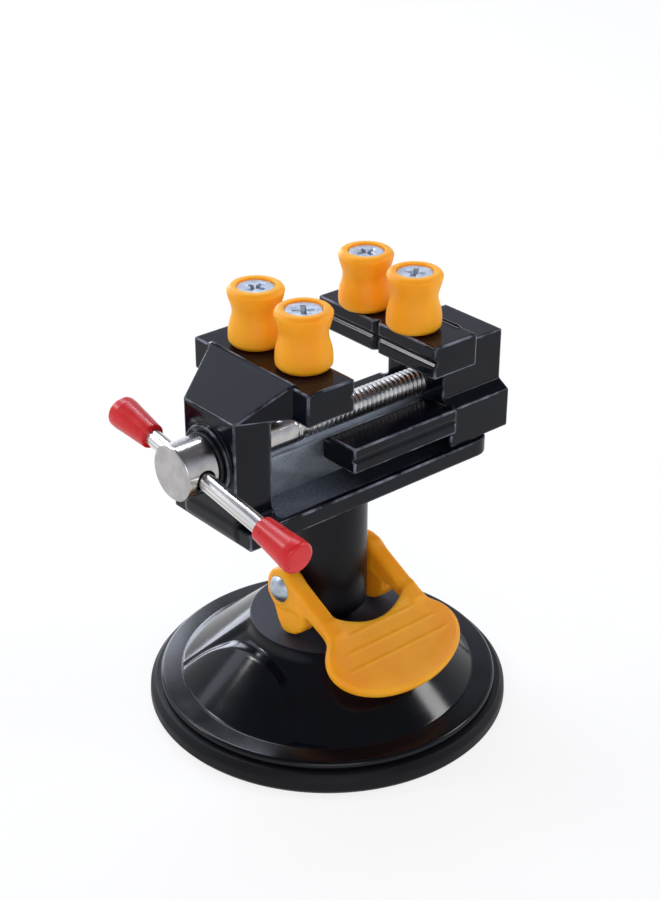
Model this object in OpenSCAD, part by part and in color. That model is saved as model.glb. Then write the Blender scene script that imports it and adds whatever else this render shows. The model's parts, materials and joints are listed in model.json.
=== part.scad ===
// Small bench vise for circuit boards, on a suction base with a locking lever.
// The origin is the centre of the base on the table, +Z is up, the lead screw runs along Y
// and its handle is on the -Y side.

/* [Suction base] */
// Outer diameter of the rubber rim
base_d = 88.4; // [84:0.2:100]
// Height of the rubber rim under the flange
rim_h = 5.2; // [4.8:0.1:7]
// How far the rim stands out past the flange
rim_lip = 2.7; // [2:0.1:5]
// Thickness of the flange round the cone
flange_t = 2.2; // [1.8:0.1:3]
// Width of the flat flange
flange_w = 5.5; // [4:0.5:8]
// Height of the cone above the flange
cone_h = 15.2; // [13:0.2:20]
// Diameter of the flat platform on the cone
platform_d = 37.6; // [35:0.2:42]
// Wall of the moulded cone
cone_wall = 2.7; // [2:0.1:3.4]
// Depth of the two hollows moulded in the cone
hollow_depth = 1.4; // [0.6:0.1:1.6]
// Thickness of the rubber middle
rubber_t = 3.2; // [2.6:0.1:3.6]
// Height of the rubber middle above the table
rubber_lift = 3.0; // [2.8:0.1:3.2]
// Diameter of the steel disc in the cup
disc_d = 40; // [30:1:46]
// Thickness of the steel disc
disc_t = 2.0; // [1.5:0.1:3]

/* [Column] */
// Diameter of the column
column_d = 19.2; // [18.6:0.2:21]
// Height of the column
column_h = 32.7; // [31:0.1:42]
// Gap between the platform and the column, which the locking stroke uses
column_gap = 3.0; // [2.8:0.1:4]
// Radius of the column's lower edge
column_round = 3.4; // [1:0.1:3.5]
// Diameter of the neck that slides in the cone
neck_d = 12; // [10:0.2:13]
// Diameter of the stud in the neck
stud_d = 6; // [4:0.5:7]
// Height of the lever's pivot above the column's lower end
pivot_rise = 8.7; // [8:0.1:9.4]
// Diameter of the pivot rivet
rivet_d = 4.4; // [3.4:0.1:5]
// Diameter of the rivet's domed heads
rivet_head_d = 6.8; // [6:0.1:8]
// Height of the rivet's domed heads
rivet_head_h = 1.7; // [1.2:0.1:2.2]

/* [Lever] */
// Thickness of a lever arm
arm_t = 4.4; // [3.6:0.1:6]
// Gap between an arm and the column
arm_gap = 0.8; // [0.6:0.1:1.4]
// Radius of the arm's eye round the rivet
eye_r = 5.2; // [4.6:0.1:5.6]
// Slope of the thumb pad in degrees
pad_slope = 35; // [32:0.5:37]
// Thickness of the thumb pad
pad_t = 3.4; // [2.6:0.1:4.2]
// Reach of the pad from the column's axis along its slope
pad_reach = 41.4; // [39:0.1:44]
// Radius of the pad's two round lobes
lobe_r = 7.3; // [6:0.1:8]
// How far the pad is wider than the fork on each side
pad_flare = 4.4; // [2:0.1:5]
// Gap between the column and the pad's inner edge
pad_gap = 9.0; // [7:0.1:9.6]
// Gap between the cam foot and the platform
foot_gap = 0.3; // [0.2:0.05:0.4]
// Width of the cam foot's flat
foot_w = 1.4; // [1:0.1:2.4]

/* [Bed] */
// Width of the bed
bed_w = 28.2; // [27:0.2:36]
// Thickness of the bed
bed_t = 4.3; // [3.8:0.1:6]
// Distance from the column's axis to the front of the bed
bed_front = 34; // [33:0.5:38]
// Distance from the column's axis to the rear of the bed
bed_rear = 40.6; // [38:0.2:45]
// Radius of the bed's rear corners
bed_corner = 4.5; // [1:0.5:6]
// Depth of the pocket in the bed
pocket_depth = 1.0; // [0.5:0.1:1.4]
// Width of the lip round the pocket
pocket_lip = 2.0; // [1.5:0.1:3]
// Thickness of the guide rail
rail_t = 4; // [3:0.1:5]
// Height of the guide rail above the bed
rail_h = 9; // [8:0.1:9.2]

/* [Jaws] */
// Length of each jaw
jaw_w = 40.4; // [37:0.2:56]
// Depth of each jaw from its gripping face to its back
jaw_depth = 13.1; // [11:0.1:14]
// Height of each jaw
jaw_h = 7.8; // [6.5:0.1:10]
// Height of the jaws' underside above the bed
jaw_rise = 24.8; // [24:0.1:32]
// Opening between the jaws as shown
opening = 23.7; // [22:0.1:26]
// Depth of the V groove along each gripping face
groove_depth = 1.2; // [0.5:0.1:1.6]
// Depth of the upright V notch in each gripping face
notch_depth = 2.0; // [1:0.1:2.6]
// Width of the front pillar
pillar_w = 18.2; // [17:0.2:22]
// Thickness of the front pillar along the screw
pillar_t = 10.5; // [9:0.1:10.6]
// Width of the gusset at the back of the front jaw
gusset_w = 28.9; // [24:0.1:34]
// Diameter of the boss round the spindle
boss_d = 16.4; // [15:0.2:17]
// Height of the boss
boss_h = 1.0; // [0.6:0.1:1.4]
// Width of the rear block above its shoulders
block_w = 19.6; // [17:0.2:22]
// Length of the rear block along the screw
block_len = 19; // [16:0.2:24]
// Narrowing of the slide against the bed on each side
slide_inset = 1.03; // [0.5:0.01:1.5]
// Height of the slide
slide_h = 9.9; // [9.6:0.1:10]
// Rise of the slide's shoulders
shoulder_h = 1.9; // [1:0.1:2.5]
// Reach of the guide tongue in front of the rear jaw's face
tongue_reach = 17.8; // [14:0.1:18]
// Height of the tongue's underside above the bed
tongue_rise = 4.2; // [2:0.1:5]
// Height of the tongue
tongue_h = 6.4; // [5.6:0.1:6.6]

/* [Lead screw] */
// Height of the screw's axis above the bed
screw_rise = 13.4; // [13.2:0.1:14.4]
// Outside diameter of the thread
thread_d = 6.7; // [6:0.1:7]
// Depth of the thread
thread_depth = 0.72; // [0.5:0.01:0.8]
// Pitch of the thread
pitch = 1.35; // [1.2:0.05:2]
// Diameter of the spindle's journal
journal_d = 7.2; // [7:0.1:8]
// Length of the journal behind the front pillar's rear face
journal_tail = 14.5; // [12:0.1:16]
// Diameter of the spindle's head
head_d = 12.4; // [11:0.1:14]
// Length of the spindle's head
head_len = 8.55; // [7.5:0.05:10]
// Thickness of the thrust washer
washer_t = 0.8; // [0.5:0.1:1]
// Diameter of the thrust washer
washer_d = 13.6; // [10:0.1:14]
// Diameter of the spigot that joins the thread to the spindle
spigot_d = 4; // [3:0.1:4.4]
// Length of the spigot
spigot_len = 9; // [7:0.1:10]
// Diameter of the cross pin through the spigot
pin_d = 1.5; // [1:0.1:2]
// Thickness of the retaining ring
ring_t = 0.8; // [0.6:0.1:0.9]
// Outer diameter of the retaining ring
ring_d = 10; // [9:0.1:10.4]

/* [Handle] */
// Diameter of the sliding bar
bar_d = 4; // [3:0.1:4.4]
// Length of the bar over its caps
bar_len = 64.4; // [56:0.2:72]
// Tilt of the bar from level in degrees
bar_tilt = 9; // [0:1:30]
// How far the bar has slid through the head
bar_shift = 6.2; // [0:0.1:8]
// Length of each end cap
cap_len = 12.5; // [9:0.1:15]
// Diameter of each cap at its outer end
cap_d = 7.6; // [6.6:0.1:7.7]
// Diameter of each cap at its inner end
cap_mouth_d = 5.9; // [5.6:0.1:6.6]
// Thickness of each cap's end wall
cap_end = 1.5; // [1:0.1:2.5]

/* [Rollers] */
// Outer diameter of the rollers
roller_d = 13.2; // [12:0.1:14]
// Diameter of the rollers at the waist
waist_d = 11; // [10.4:0.1:11.6]
// Height of the rollers
roller_h = 13.7; // [11:0.1:16]
// Rounding of the rollers' rims
roller_round = 1.3; // [0.5:0.1:1.5]
// Spacing of the two rollers on a jaw
roller_spacing = 16.6; // [15:0.1:22]
// Distance from a jaw's gripping face to its rollers' axes
roller_set = 4.4; // [4.2:0.1:5.4]
// Diameter of the roller screws
bolt_d = 4; // [3:0.1:4.2]
// Diameter of the countersunk screw heads
bolt_head_d = 8.4; // [7:0.1:8.6]
// Height of the countersunk screw heads
bolt_head_h = 2.3; // [1.8:0.1:2.6]
// How far the heads lie below the rollers' tops
bolt_sink = 0.5; // [0.2:0.1:1]

/* [Fits] */
// Radial clearance of pieces that turn or slide in a bore
run_clear = 0.06; // [0.03:0.01:0.08]
// Radial clearance of pieces that are fixed in a bore
fix_clear = 0.02; // [0.01:0.01:0.05]
// Gap between flat faces that slide on each other
slide_gap = 0.3; // [0.2:0.05:0.35]
// Gap between flat faces that turn on each other
face_gap = 0.1; // [0.05:0.05:0.2]

/* [Hidden] */
$fn = 64;
// Length by which a cut runs past a face
past = 1;

// Radii of the base
base_r = base_d / 2;
flange_r = base_r - rim_lip;
cone_r = flange_r - flange_w;
rim_inner_r = cone_r - 2.4;
rubber_gap = 0.6;
rubber_r = rim_inner_r - rubber_gap;
platform_r = platform_d / 2;
sleeve_wall = 3;
sleeve_h = 7;
rim_bevel = 1.2;

// Heights, each built on the one below it
flange_top = rim_h + flange_t;
platform_z = flange_top + cone_h;
column_z = platform_z + column_gap;
bed_z = column_z + column_h;
bed_top = bed_z + bed_t;
floor_z = bed_top - pocket_depth;
axis_z = bed_top + screw_rise;
jaw_z = bed_top + jaw_rise;
jaw_top = jaw_z + jaw_h;
rail_top = bed_top + rail_h;
pivot_z = column_z + pivot_rise;
disc_z = rubber_lift + rubber_t;
neck_z = disc_z + disc_t;
roller_z = jaw_top + slide_gap;
roller_top = roller_z + roller_h;

// Column and lever
column_r = column_d / 2;
neck_r = neck_d / 2;
stud_r = stud_d / 2;
stud_top = column_z - 1.6;
arm_in = column_r + arm_gap;
arm_out = arm_in + arm_t;
pad_rise = 9;
rivet_r = rivet_d / 2;
tenon_r = column_r - 4;
tenon_h = bed_t - pocket_depth - 0.9;

// Places along the screw
pillar_front = -bed_front;
pillar_rear = pillar_front + pillar_t;
jaw_back = pillar_front + 11.6;
front_face = jaw_back + jaw_depth;
rear_face = front_face + opening;
block_front = rear_face + jaw_depth;
block_rear = block_front + block_len;
tongue_front = rear_face - tongue_reach;
gusset_len = jaw_back - pillar_front;
ring_y = pillar_rear + face_gap;
rail_front = ring_y + ring_t + 1.1;
rail_rear = bed_rear - 2.4;
boss_front = pillar_front - boss_h;
washer_front = boss_front - washer_t;
head_rear = washer_front - face_gap / 2;
head_front = head_rear - head_len;
journal_end = pillar_rear + journal_tail;
bar_y = head_rear - 3.75;
thread_end = block_rear - 0.6;
front_roller_y = front_face - roller_set;
rear_roller_y = rear_face + roller_set;

// Screw, slide and handle
journal_r = journal_d / 2;
thread_r = thread_d / 2;
root_r = thread_r - thread_depth;
nut_clear = 0.1;
head_r = head_d / 2;
spigot_r = spigot_d / 2;
pin_r = pin_d / 2;
groove_r = journal_r - 0.6;
pin_y = journal_end - 4;
slide_half = bed_w / 2 - slide_inset;
slide_z = bed_top + slide_gap;
slide_top = slide_z + slide_h;
slot_half = rail_t / 2 + slide_gap;
tongue_z = bed_top + tongue_rise;
tongue_top = tongue_z + tongue_h;
channel_half = thread_r + 1.25;
channel_z = rail_top + 0.2;
bar_r = bar_d / 2;
bar_half = bar_len / 2;
cap_bore_len = cap_len - cap_end;
edge_r = 0.8;
corner_r = 1;
bolt_r = bolt_d / 2;
bolt_head_r = bolt_head_d / 2;
bolt_len = roller_top - bolt_sink - jaw_z - 1.1;
cross_w = 0.9;
cross_l = 4.4;
cross_depth = 1.3;

// Rectangle with four rounded corners, centred
module soft_rect(w, h, r) {
    square([w - 2 * r, h], center = true);
    square([w, h - 2 * r], center = true);
    for (sx = [-1, 1], sy = [-1, 1]) {
        translate([sx * (w / 2 - r), sy * (h / 2 - r)]) circle(r);
    }
}

// Lays an outline drawn in Y and Z along X, centred
module along_x(w) {
    rotate([90, 0, 90]) linear_extrude(w, center = true) children();
}

// Lays a round piece drawn along Z on the screw's axis, starting at y
module on_axis(y) {
    translate([0, y, axis_z]) rotate([-90, 0, 0]) children();
}

// Lays a piece drawn along X on the handle bar's axis
module on_bar() {
    translate([0, bar_y, axis_z]) rotate([0, bar_tilt, 0]) children();
}

// Countersunk screw with a cross recess, its top face at the origin
module flat_screw(r, head_r, head_h, len, turn) {
    land = 0.3;
    difference() {
        union() {
            translate([0, 0, -land]) cylinder(h = land, r = head_r);
            translate([0, 0, -head_h]) cylinder(h = head_h - land, r1 = r, r2 = head_r);
            translate([0, 0, -len]) cylinder(h = len - head_h / 2, r = r);
        }
        for (a = [0, 90]) {
            rotate(turn + a) translate([-cross_l / 2, -cross_w / 2, -cross_depth])
                cube([cross_l, cross_w, cross_depth + past]);
        }
    }
}

// Seat that a countersunk screw lies in, with the same clearance all round
module flat_seat(r, head_r, head_h, clear, depth) {
    translate([0, 0, -head_h]) cylinder(h = head_h, r1 = r + clear, r2 = head_r + clear);
    cylinder(h = depth, r = head_r + clear);
}

module suction_rim() {
    color("#17181a") rotate_extrude($fn = 128)
        polygon([[rim_inner_r, rubber_lift - 1.4], [rim_inner_r + 2, 0], [base_r - rim_bevel * 0.8, 0],
            [base_r, rim_bevel], [base_r, rim_h - 2.2], [base_r - rim_bevel * 0.4, rim_h - 0.7],
            [base_r - rim_bevel, rim_h], [rim_inner_r, rim_h]]);
}

// Plain cone of the cover, let in by a given depth
module cone_body(inset) {
    translate([0, 0, flange_top - past])
        cylinder(h = past, r = cone_r - inset, $fn = 128);
    translate([0, 0, flange_top])
        cylinder(h = cone_h, r1 = cone_r - inset, r2 = platform_r - inset, $fn = 128);
}

// Part of the cone that each hollow takes away
module hollow_cut() {
    top_half = platform_r * 0.49;
    foot_half = cone_r * 0.62;
    arch_r = cone_h * 1.58;
    difference() {
        rotate([90, 0, 0]) linear_extrude(cone_r + past)
            polygon([[-top_half, platform_z + past], [top_half, platform_z + past],
                [top_half, platform_z], [foot_half, flange_top], [-foot_half, flange_top],
                [-top_half, platform_z]]);
        cone_body(hollow_depth);
        translate([0, past, platform_z - 3.9 - arch_r]) rotate([90, 0, 0])
            cylinder(h = cone_r + 3 * past, r = arch_r, $fn = 128);
        translate([0, 0, flange_top]) cylinder(h = cone_h + 3 * past, r = platform_r - hollow_depth);
    }
}

module base_cover() {
    inner_foot = cone_r - cone_wall * 1.15;
    inner_top = platform_r - cone_wall * 0.85;
    ceiling = platform_z - cone_wall;
    color("#1c1f24") difference() {
        union() {
            rotate_extrude($fn = 128) {
                translate([rim_inner_r, rim_h])
                    square([flange_r - flange_t / 2 - rim_inner_r, flange_t]);
                translate([flange_r - flange_t / 2, rim_h + flange_t / 2]) circle(flange_t / 2);
            }
            difference() {
                cone_body(0);
                hollow_cut();
                mirror([0, 1, 0]) hollow_cut();
            }
        }
        difference() {
            rotate_extrude($fn = 128)
                polygon([[0, rim_h - past], [inner_foot, rim_h - past], [inner_foot, rim_h + 0.6],
                    [inner_top, ceiling], [0, ceiling]]);
            translate([0, 0, ceiling - sleeve_h])
                cylinder(h = sleeve_h + past, r = neck_r + sleeve_wall);
        }
        translate([0, 0, rim_h - past])
            cylinder(h = platform_z - rim_h + 2 * past, r = neck_r + run_clear);
    }
}

module suction_diaphragm() {
    lip_t = 1.4;
    color("#141517") rotate_extrude($fn = 128)
        polygon([[0, rubber_lift], [rubber_r - 5, rubber_lift], [rubber_r, disc_z - lip_t],
            [rubber_r, disc_z], [0, disc_z]]);
}

module pull_stud() {
    color("#a8abad") union() {
        translate([0, 0, disc_z]) cylinder(h = disc_t, d = disc_d);
        translate([0, 0, neck_z - past / 2]) cylinder(h = stud_top - neck_z + past / 2, r = stud_r);
    }
}

module column() {
    color("#1d1f22") difference() {
        union() {
            rotate_extrude() {
                translate([0, column_z + column_round]) square([column_r, column_h - column_round]);
                translate([0, column_z]) square([column_r - column_round, column_h]);
                translate([column_r - column_round, column_z + column_round]) circle(column_round);
            }
            translate([0, 0, neck_z]) cylinder(h = column_z - neck_z + past, r = neck_r);
            translate([0, 0, bed_z - past]) cylinder(h = tenon_h + past, r = tenon_r);
        }
        translate([0, 0, neck_z - past])
            cylinder(h = stud_top + 0.4 - neck_z + past, r = stud_r + fix_clear);
        translate([0, 0, pivot_z]) rotate([90, 0, 0])
            cylinder(h = 2 * column_r + 2 * past, r = rivet_r + fix_clear, center = true);
    }
}

module pivot_rivet() {
    seat = arm_out + face_gap;
    // Radius of the ball that the domed heads are cut from
    dome_r = (rivet_head_d * rivet_head_d / 4 + rivet_head_h * rivet_head_h) / (2 * rivet_head_h);
    color("#b3b6b8") translate([0, 0, pivot_z]) {
        rotate([90, 0, 0]) cylinder(h = 2 * seat, r = rivet_r, center = true);
        for (a = [90, -90]) {
            rotate([a, 0, 0]) translate([0, 0, seat]) intersection() {
                translate([0, 0, rivet_head_h - dome_r]) sphere(dome_r);
                cylinder(h = rivet_head_h + past, d = rivet_head_d);
            }
        }
    }
}

// Side outline of one lever arm, in X and height
module arm_outline() {
    foot_z = platform_z + foot_gap;
    foot_x = 1.2;
    foot_end = foot_x + foot_w;
    pad_z = pivot_z + pad_rise;
    tip_x = 18.5;
    tip_z = pad_z - tip_x * tan(pad_slope);
    translate([0, pivot_z]) circle(eye_r);
    polygon([[1.6, pivot_z + eye_r - 0.4], [tip_x, tip_z + 0.4], [tip_x, tip_z - pad_t],
        [9.6, pivot_z - 4.2], [0, pivot_z - eye_r + 1]]);
    polygon([[-eye_r + 0.2, pivot_z - 1.3], [-2.6, foot_z + 6.1], [-1.3, foot_z + 2.7],
        [foot_x - 1.1, foot_z + 0.6], [foot_x, foot_z], [foot_end, foot_z],
        [foot_end + 2.5, foot_z + 0.9], [foot_end + 4.6, foot_z + 2.5],
        [foot_end + 5.9, foot_z + 4.6], [foot_end + 6.2, foot_z + 7.2], [2, pivot_z]]);
}

// Outline of the thumb pad in its own plane
module pad_outline() {
    root = 18.2;
    half_root = arm_out - 0.2;
    lobe_x = pad_reach - 10.6;
    lobe_y = arm_out + pad_flare - lobe_r;
    tip_r = 28.5;
    intersection() {
        translate([root, -half_root]) square([pad_reach + past - root, 2 * half_root]);
        translate([pad_reach - tip_r, 0]) circle(tip_r, $fn = 128);
        translate([root, -lobe_y - lobe_r * 0.4]) square([pad_reach - root + past, 2 * lobe_y + lobe_r * 0.8]);
    }
    for (s = [-1, 1]) {
        translate([lobe_x, s * lobe_y]) circle(lobe_r);
    }
}

module lever() {
    ridge_w = 1.2;
    ridge_h = 0.35;
    ridge_step = 4;
    color("#d9781c") difference() {
        union() {
            for (s = [-1, 1]) {
                translate([0, s * (arm_in + arm_t / 2), 0]) rotate([90, 0, 0])
                    linear_extrude(arm_t, center = true) arm_outline();
            }
            difference() {
                translate([0, 0, pivot_z + pad_rise]) rotate([0, pad_slope, 0]) {
                    translate([0, 0, -pad_t]) linear_extrude(pad_t) pad_outline();
                    for (k = [0:2]) {
                        translate([pad_reach - 9 - k * ridge_step, 0, 0])
                            cube([ridge_w, 2 * arm_out - 6, 2 * ridge_h], center = true);
                    }
                }
                translate([0, 0, platform_z]) cylinder(h = column_h, r = column_r + pad_gap, $fn = 96);
            }
        }
        translate([0, 0, pivot_z]) rotate([90, 0, 0])
            cylinder(h = 2 * arm_out + 2 * past, r = rivet_r + run_clear, center = true);
    }
}

// One jaw with its gripping face at y = 0, its back at y = -jaw_depth and its underside at z = 0
module jaw_bar() {
    difference() {
        translate([0, -jaw_depth / 2, jaw_h / 2]) along_x(jaw_w) soft_rect(jaw_depth, jaw_h, edge_r);
        translate([0, 0, jaw_h / 2]) along_x(jaw_w + 2 * past)
            polygon([[past, groove_depth + past], [-groove_depth, 0], [past, -groove_depth - past]]);
        translate([0, 0, -past]) linear_extrude(jaw_h + 2 * past)
            polygon([[notch_depth + past, past], [0, -notch_depth], [-notch_depth - past, past]]);
        for (s = [-1, 1]) {
            translate([s * roller_spacing / 2, -roller_set, -past])
                cylinder(h = jaw_h + 2 * past, r = bolt_r + fix_clear);
        }
    }
}

// Sloped gusset behind a jaw, from the jaw's back at y = 0 to y = -len
module gusset(len, wide, narrow) {
    intersection() {
        along_x(wide + 2 * past)
            polygon([[past, 0], [past, jaw_h - edge_r], [0, jaw_h], [-len, 0.1], [-len, 0]]);
        linear_extrude(jaw_h + past)
            polygon([[-wide / 2, past], [-wide / 2, 0], [-narrow / 2, -len], [narrow / 2, -len],
                [wide / 2, 0], [wide / 2, past]]);
    }
}

// Plan of the bed
module bed_plan() {
    half = bed_w / 2;
    translate([-half, pillar_front]) square([bed_w, bed_front + bed_rear - bed_corner]);
    translate([-half + bed_corner, 0]) square([bed_w - 2 * bed_corner, bed_rear]);
    for (s = [-1, 1]) {
        translate([s * (half - bed_corner), bed_rear - bed_corner]) circle(bed_corner);
    }
}

module vise_body() {
    pocket_r = 2;
    pocket_rear = bed_rear - pocket_lip;
    pocket_len = pocket_rear - pillar_rear;
    color("#17191c") difference() {
        union() {
            difference() {
                translate([0, 0, bed_z]) linear_extrude(bed_t) bed_plan();
                translate([0, (pillar_rear + pocket_rear) / 2, floor_z]) linear_extrude(bed_t)
                    soft_rect(bed_w - 2 * pocket_lip, pocket_len, pocket_r);
            }
            translate([-rail_t / 2, rail_front, floor_z - past])
                cube([rail_t, rail_rear - rail_front, rail_top - floor_z + past]);
            translate([0, (pillar_front + pillar_rear) / 2, bed_top - past])
                linear_extrude(jaw_z - bed_top + past + 0.1) soft_rect(pillar_w, pillar_t, corner_r);
            translate([0, pillar_front, axis_z]) rotate([90, 0, 0]) cylinder(h = boss_h, d = boss_d);
            translate([0, pillar_front + past, axis_z]) rotate([90, 0, 0]) cylinder(h = past, d = boss_d);
            translate([0, jaw_back, jaw_z]) gusset(gusset_len, gusset_w, pillar_w);
            translate([0, front_face, jaw_z]) jaw_bar();
        }
        on_axis(boss_front - past)
            cylinder(h = pillar_rear - boss_front + 2 * past, r = journal_r + run_clear);
        translate([0, 0, bed_z - past])
            cylinder(h = tenon_h + 0.2 + past, r = tenon_r + fix_clear);
    }
}

module thrust_washer() {
    color("#26282b") on_axis(washer_front) difference() {
        cylinder(h = washer_t, d = washer_d);
        translate([0, 0, -past]) cylinder(h = washer_t + 2 * past, r = journal_r + 0.3);
    }
}

// The two screws that hold one jaw's rollers
module roller_screws(y, turn) {
    for (s = [-1, 1]) {
        translate([s * roller_spacing / 2, y, roller_top - bolt_sink])
            flat_screw(bolt_r, bolt_head_r, bolt_head_h, bolt_len, turn + 20 * s);
    }
}

module front_roller_screws() {
    color("#b9bec4") roller_screws(front_roller_y, 35);
}

module rear_roller_screws() {
    color("#b9bec4") roller_screws(rear_roller_y, 15);
}

module spindle() {
    rim = 0.7;
    mouth_r = bar_r + 0.9;
    mouth_depth = 1.4;
    color("#c3c5c6") difference() {
        union() {
            on_axis(head_front) rotate_extrude()
                polygon([[0, 0.5], [head_r - 2.2, 0.5], [head_r - 1.7, 0], [head_r - rim, 0],
                    [head_r, rim], [head_r, head_len - rim], [head_r - rim, head_len], [0, head_len]]);
            on_axis(head_rear - past) rotate_extrude() difference() {
                square([journal_r, journal_end - head_rear + past]);
                translate([groove_r, ring_y - head_rear + past - 0.05]) square([past, ring_t + 0.1]);
                translate([journal_r, journal_end - head_rear + past]) rotate(45)
                    square(0.9, center = true);
            }
        }
        on_axis(journal_end - spigot_len - 0.4)
            cylinder(h = spigot_len + 0.4 + past, r = spigot_r + fix_clear);
        on_bar() rotate([0, 90, 0]) {
            cylinder(h = head_d + 2 * past, r = bar_r + run_clear + 0.02, center = true);
            for (a = [0, 180]) {
                rotate([a, 0, 0]) translate([0, 0, head_r - mouth_depth])
                    cylinder(h = mouth_depth + past, r1 = bar_r + 0.08, r2 = mouth_r + 0.6);
            }
        }
        translate([0, pin_y, axis_z])
            cylinder(h = journal_d + 2 * past, r = pin_r + fix_clear, center = true);
    }
}

// Right-handed thread along +Z from z = 0, tapered to its root at both ends
module thread(len) {
    steps = 12;
    lead_in = 1;
    count = floor((len - pitch) / pitch * steps);
    flank = 0.38;
    crest = 0.24;
    function swell(i) = max(0, min(1, min(i, count - i) / (lead_in * steps)));
    function ring_point(r, i, f) = [r * cos(360 * i / steps), r * sin(360 * i / steps),
        pitch * (i / steps + f)];
    function crest_r(i) = root_r + 0.01 + (thread_depth - 0.01) * swell(i);
    roots = [for (i = [0:count + steps]) ring_point(root_r, i, 0)];
    lows = [for (i = [0:count]) ring_point(crest_r(i), i, flank)];
    highs = [for (i = [0:count]) ring_point(crest_r(i), i, flank + crest)];
    n_root = count + steps + 1;
    n_low = count + 1;
    ends = [[0, 0, pitch / 2], [0, 0, pitch * (count / steps + 0.5)]];
    low0 = n_root;
    high0 = n_root + n_low;
    tail = high0 + n_low;
    flanks = [for (i = [0:count - 1]) each [
        [i, low0 + i, i + 1], [i + 1, low0 + i, low0 + i + 1],
        [low0 + i, high0 + i, low0 + i + 1], [low0 + i + 1, high0 + i, high0 + i + 1],
        [high0 + i, i + steps, high0 + i + 1], [high0 + i + 1, i + steps, i + steps + 1]]];
    start = concat([for (i = [0:steps - 1]) [tail, i, i + 1]],
        [[tail, steps, high0], [tail, high0, low0], [tail, low0, 0]]);
    finish = concat([for (i = [0:steps - 1]) [tail + 1, count + i + 1, count + i]],
        [[tail + 1, high0 + count, count + steps], [tail + 1, low0 + count, high0 + count],
        [tail + 1, count, low0 + count]]);
    polyhedron(points = concat(roots, lows, highs, ends), faces = concat(flanks, start, finish));
}

module lead_screw() {
    collar = 0.5;
    overlap = 3;
    color("#c9cbcc") difference() {
        union() {
            on_axis(journal_end + collar) thread(thread_end - journal_end - collar);
            on_axis(journal_end - spigot_len)
                cylinder(h = spigot_len + collar + overlap, r = spigot_r);
            on_axis(journal_end) cylinder(h = collar + pitch * 0.9, r = root_r - 0.15);
        }
        translate([0, pin_y, axis_z])
            cylinder(h = journal_d + 2 * past, r = pin_r + fix_clear, center = true);
    }
}

module spindle_pin() {
    color("#8d9093") translate([0, pin_y, axis_z])
        cylinder(h = journal_d - 0.4, r = pin_r, center = true);
}

module retaining_ring() {
    color("#33363a") on_axis(ring_y) difference() {
        cylinder(h = ring_t, d = ring_d);
        translate([0, 0, -past]) cylinder(h = ring_t + 2 * past, r = groove_r + fix_clear);
    }
}

module tommy_bar() {
    color("#cfd1d2") on_bar() translate([bar_shift, 0, 0]) rotate([0, 90, 0])
        cylinder(h = bar_len - 2 * cap_end, r = bar_r, center = true);
}

// One soft cap on the end of the bar, drawn along +X
module bar_cap() {
    color("#c2281f") on_bar() translate([bar_shift, 0, 0]) children();
}

// Cap profile along +Z from its open end
module cap_solid() {
    round_r = 0.9;
    cap_r = cap_d / 2;
    mouth_r = cap_mouth_d / 2;
    rotate_extrude() difference() {
        union() {
            polygon([[0, 0], [mouth_r - 0.3, 0], [mouth_r, 0.3], [cap_r - 0.2, cap_len * 0.62],
                [cap_r, cap_len * 0.78], [cap_r, cap_len - round_r], [cap_r - round_r, cap_len],
                [0, cap_len]]);
            translate([cap_r - round_r, cap_len - round_r]) circle(round_r);
        }
        translate([-past, -past]) square([bar_r + fix_clear + past, cap_bore_len + past]);
    }
}

module bar_cap_left() {
    bar_cap() rotate([0, -90, 0]) translate([0, 0, bar_half - cap_len]) cap_solid();
}

module bar_cap_right() {
    bar_cap() rotate([0, 90, 0]) translate([0, 0, bar_half - cap_len]) cap_solid();
}

module moving_jaw() {
    block_top = jaw_z + 0.1;
    block_mid = (block_front + block_rear) / 2;
    rear_gusset_len = gusset_len - 1;
    line_w = 0.7;
    color("#17191c") difference() {
        union() {
            translate([0, rear_face, jaw_z]) mirror([0, 1, 0]) jaw_bar();
            translate([0, block_front, jaw_z]) mirror([0, 1, 0])
                gusset(rear_gusset_len, gusset_w, block_w);
            translate([0, block_mid, slide_top]) linear_extrude(block_top - slide_top)
                soft_rect(block_w, block_len, corner_r);
            translate([0, block_mid, 0]) rotate([90, 0, 0]) linear_extrude(block_len, center = true)
                polygon([[-slide_half, slide_z], [slide_half, slide_z], [slide_half, slide_top],
                    [block_w / 2, slide_top + shoulder_h], [block_w / 2 - 2, slide_top + shoulder_h],
                    [-block_w / 2 + 2, slide_top + shoulder_h], [-block_w / 2, slide_top + shoulder_h],
                    [-slide_half, slide_top]]);
            difference() {
                translate([0, (tongue_front + block_front + past) / 2, (tongue_z + tongue_top) / 2])
                    rotate([90, 0, 0]) linear_extrude(block_front + past - tongue_front, center = true)
                    soft_rect(2 * slide_half + 1, tongue_h, edge_r);
                translate([-channel_half, tongue_front - past, channel_z])
                    cube([2 * channel_half, block_front - tongue_front + past, tongue_h]);
                for (s = [-1, 1]) {
                    translate([s * (slide_half + 0.5), tongue_front - past, (tongue_z + tongue_top) / 2])
                        rotate([-90, 0, 0]) rotate(45)
                        translate([0, 0, (block_front - tongue_front) / 2])
                        cube([line_w, line_w, block_front - tongue_front + 2 * past], center = true);
                }
            }
        }
        translate([-slot_half, tongue_front - past, slide_z - past])
            cube([2 * slot_half, block_rear - tongue_front + 2 * past,
                rail_top + slide_gap - slide_z + past]);
        on_axis(block_front - past) cylinder(h = block_len + 2 * past, r = thread_r + nut_clear);
    }
}

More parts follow.
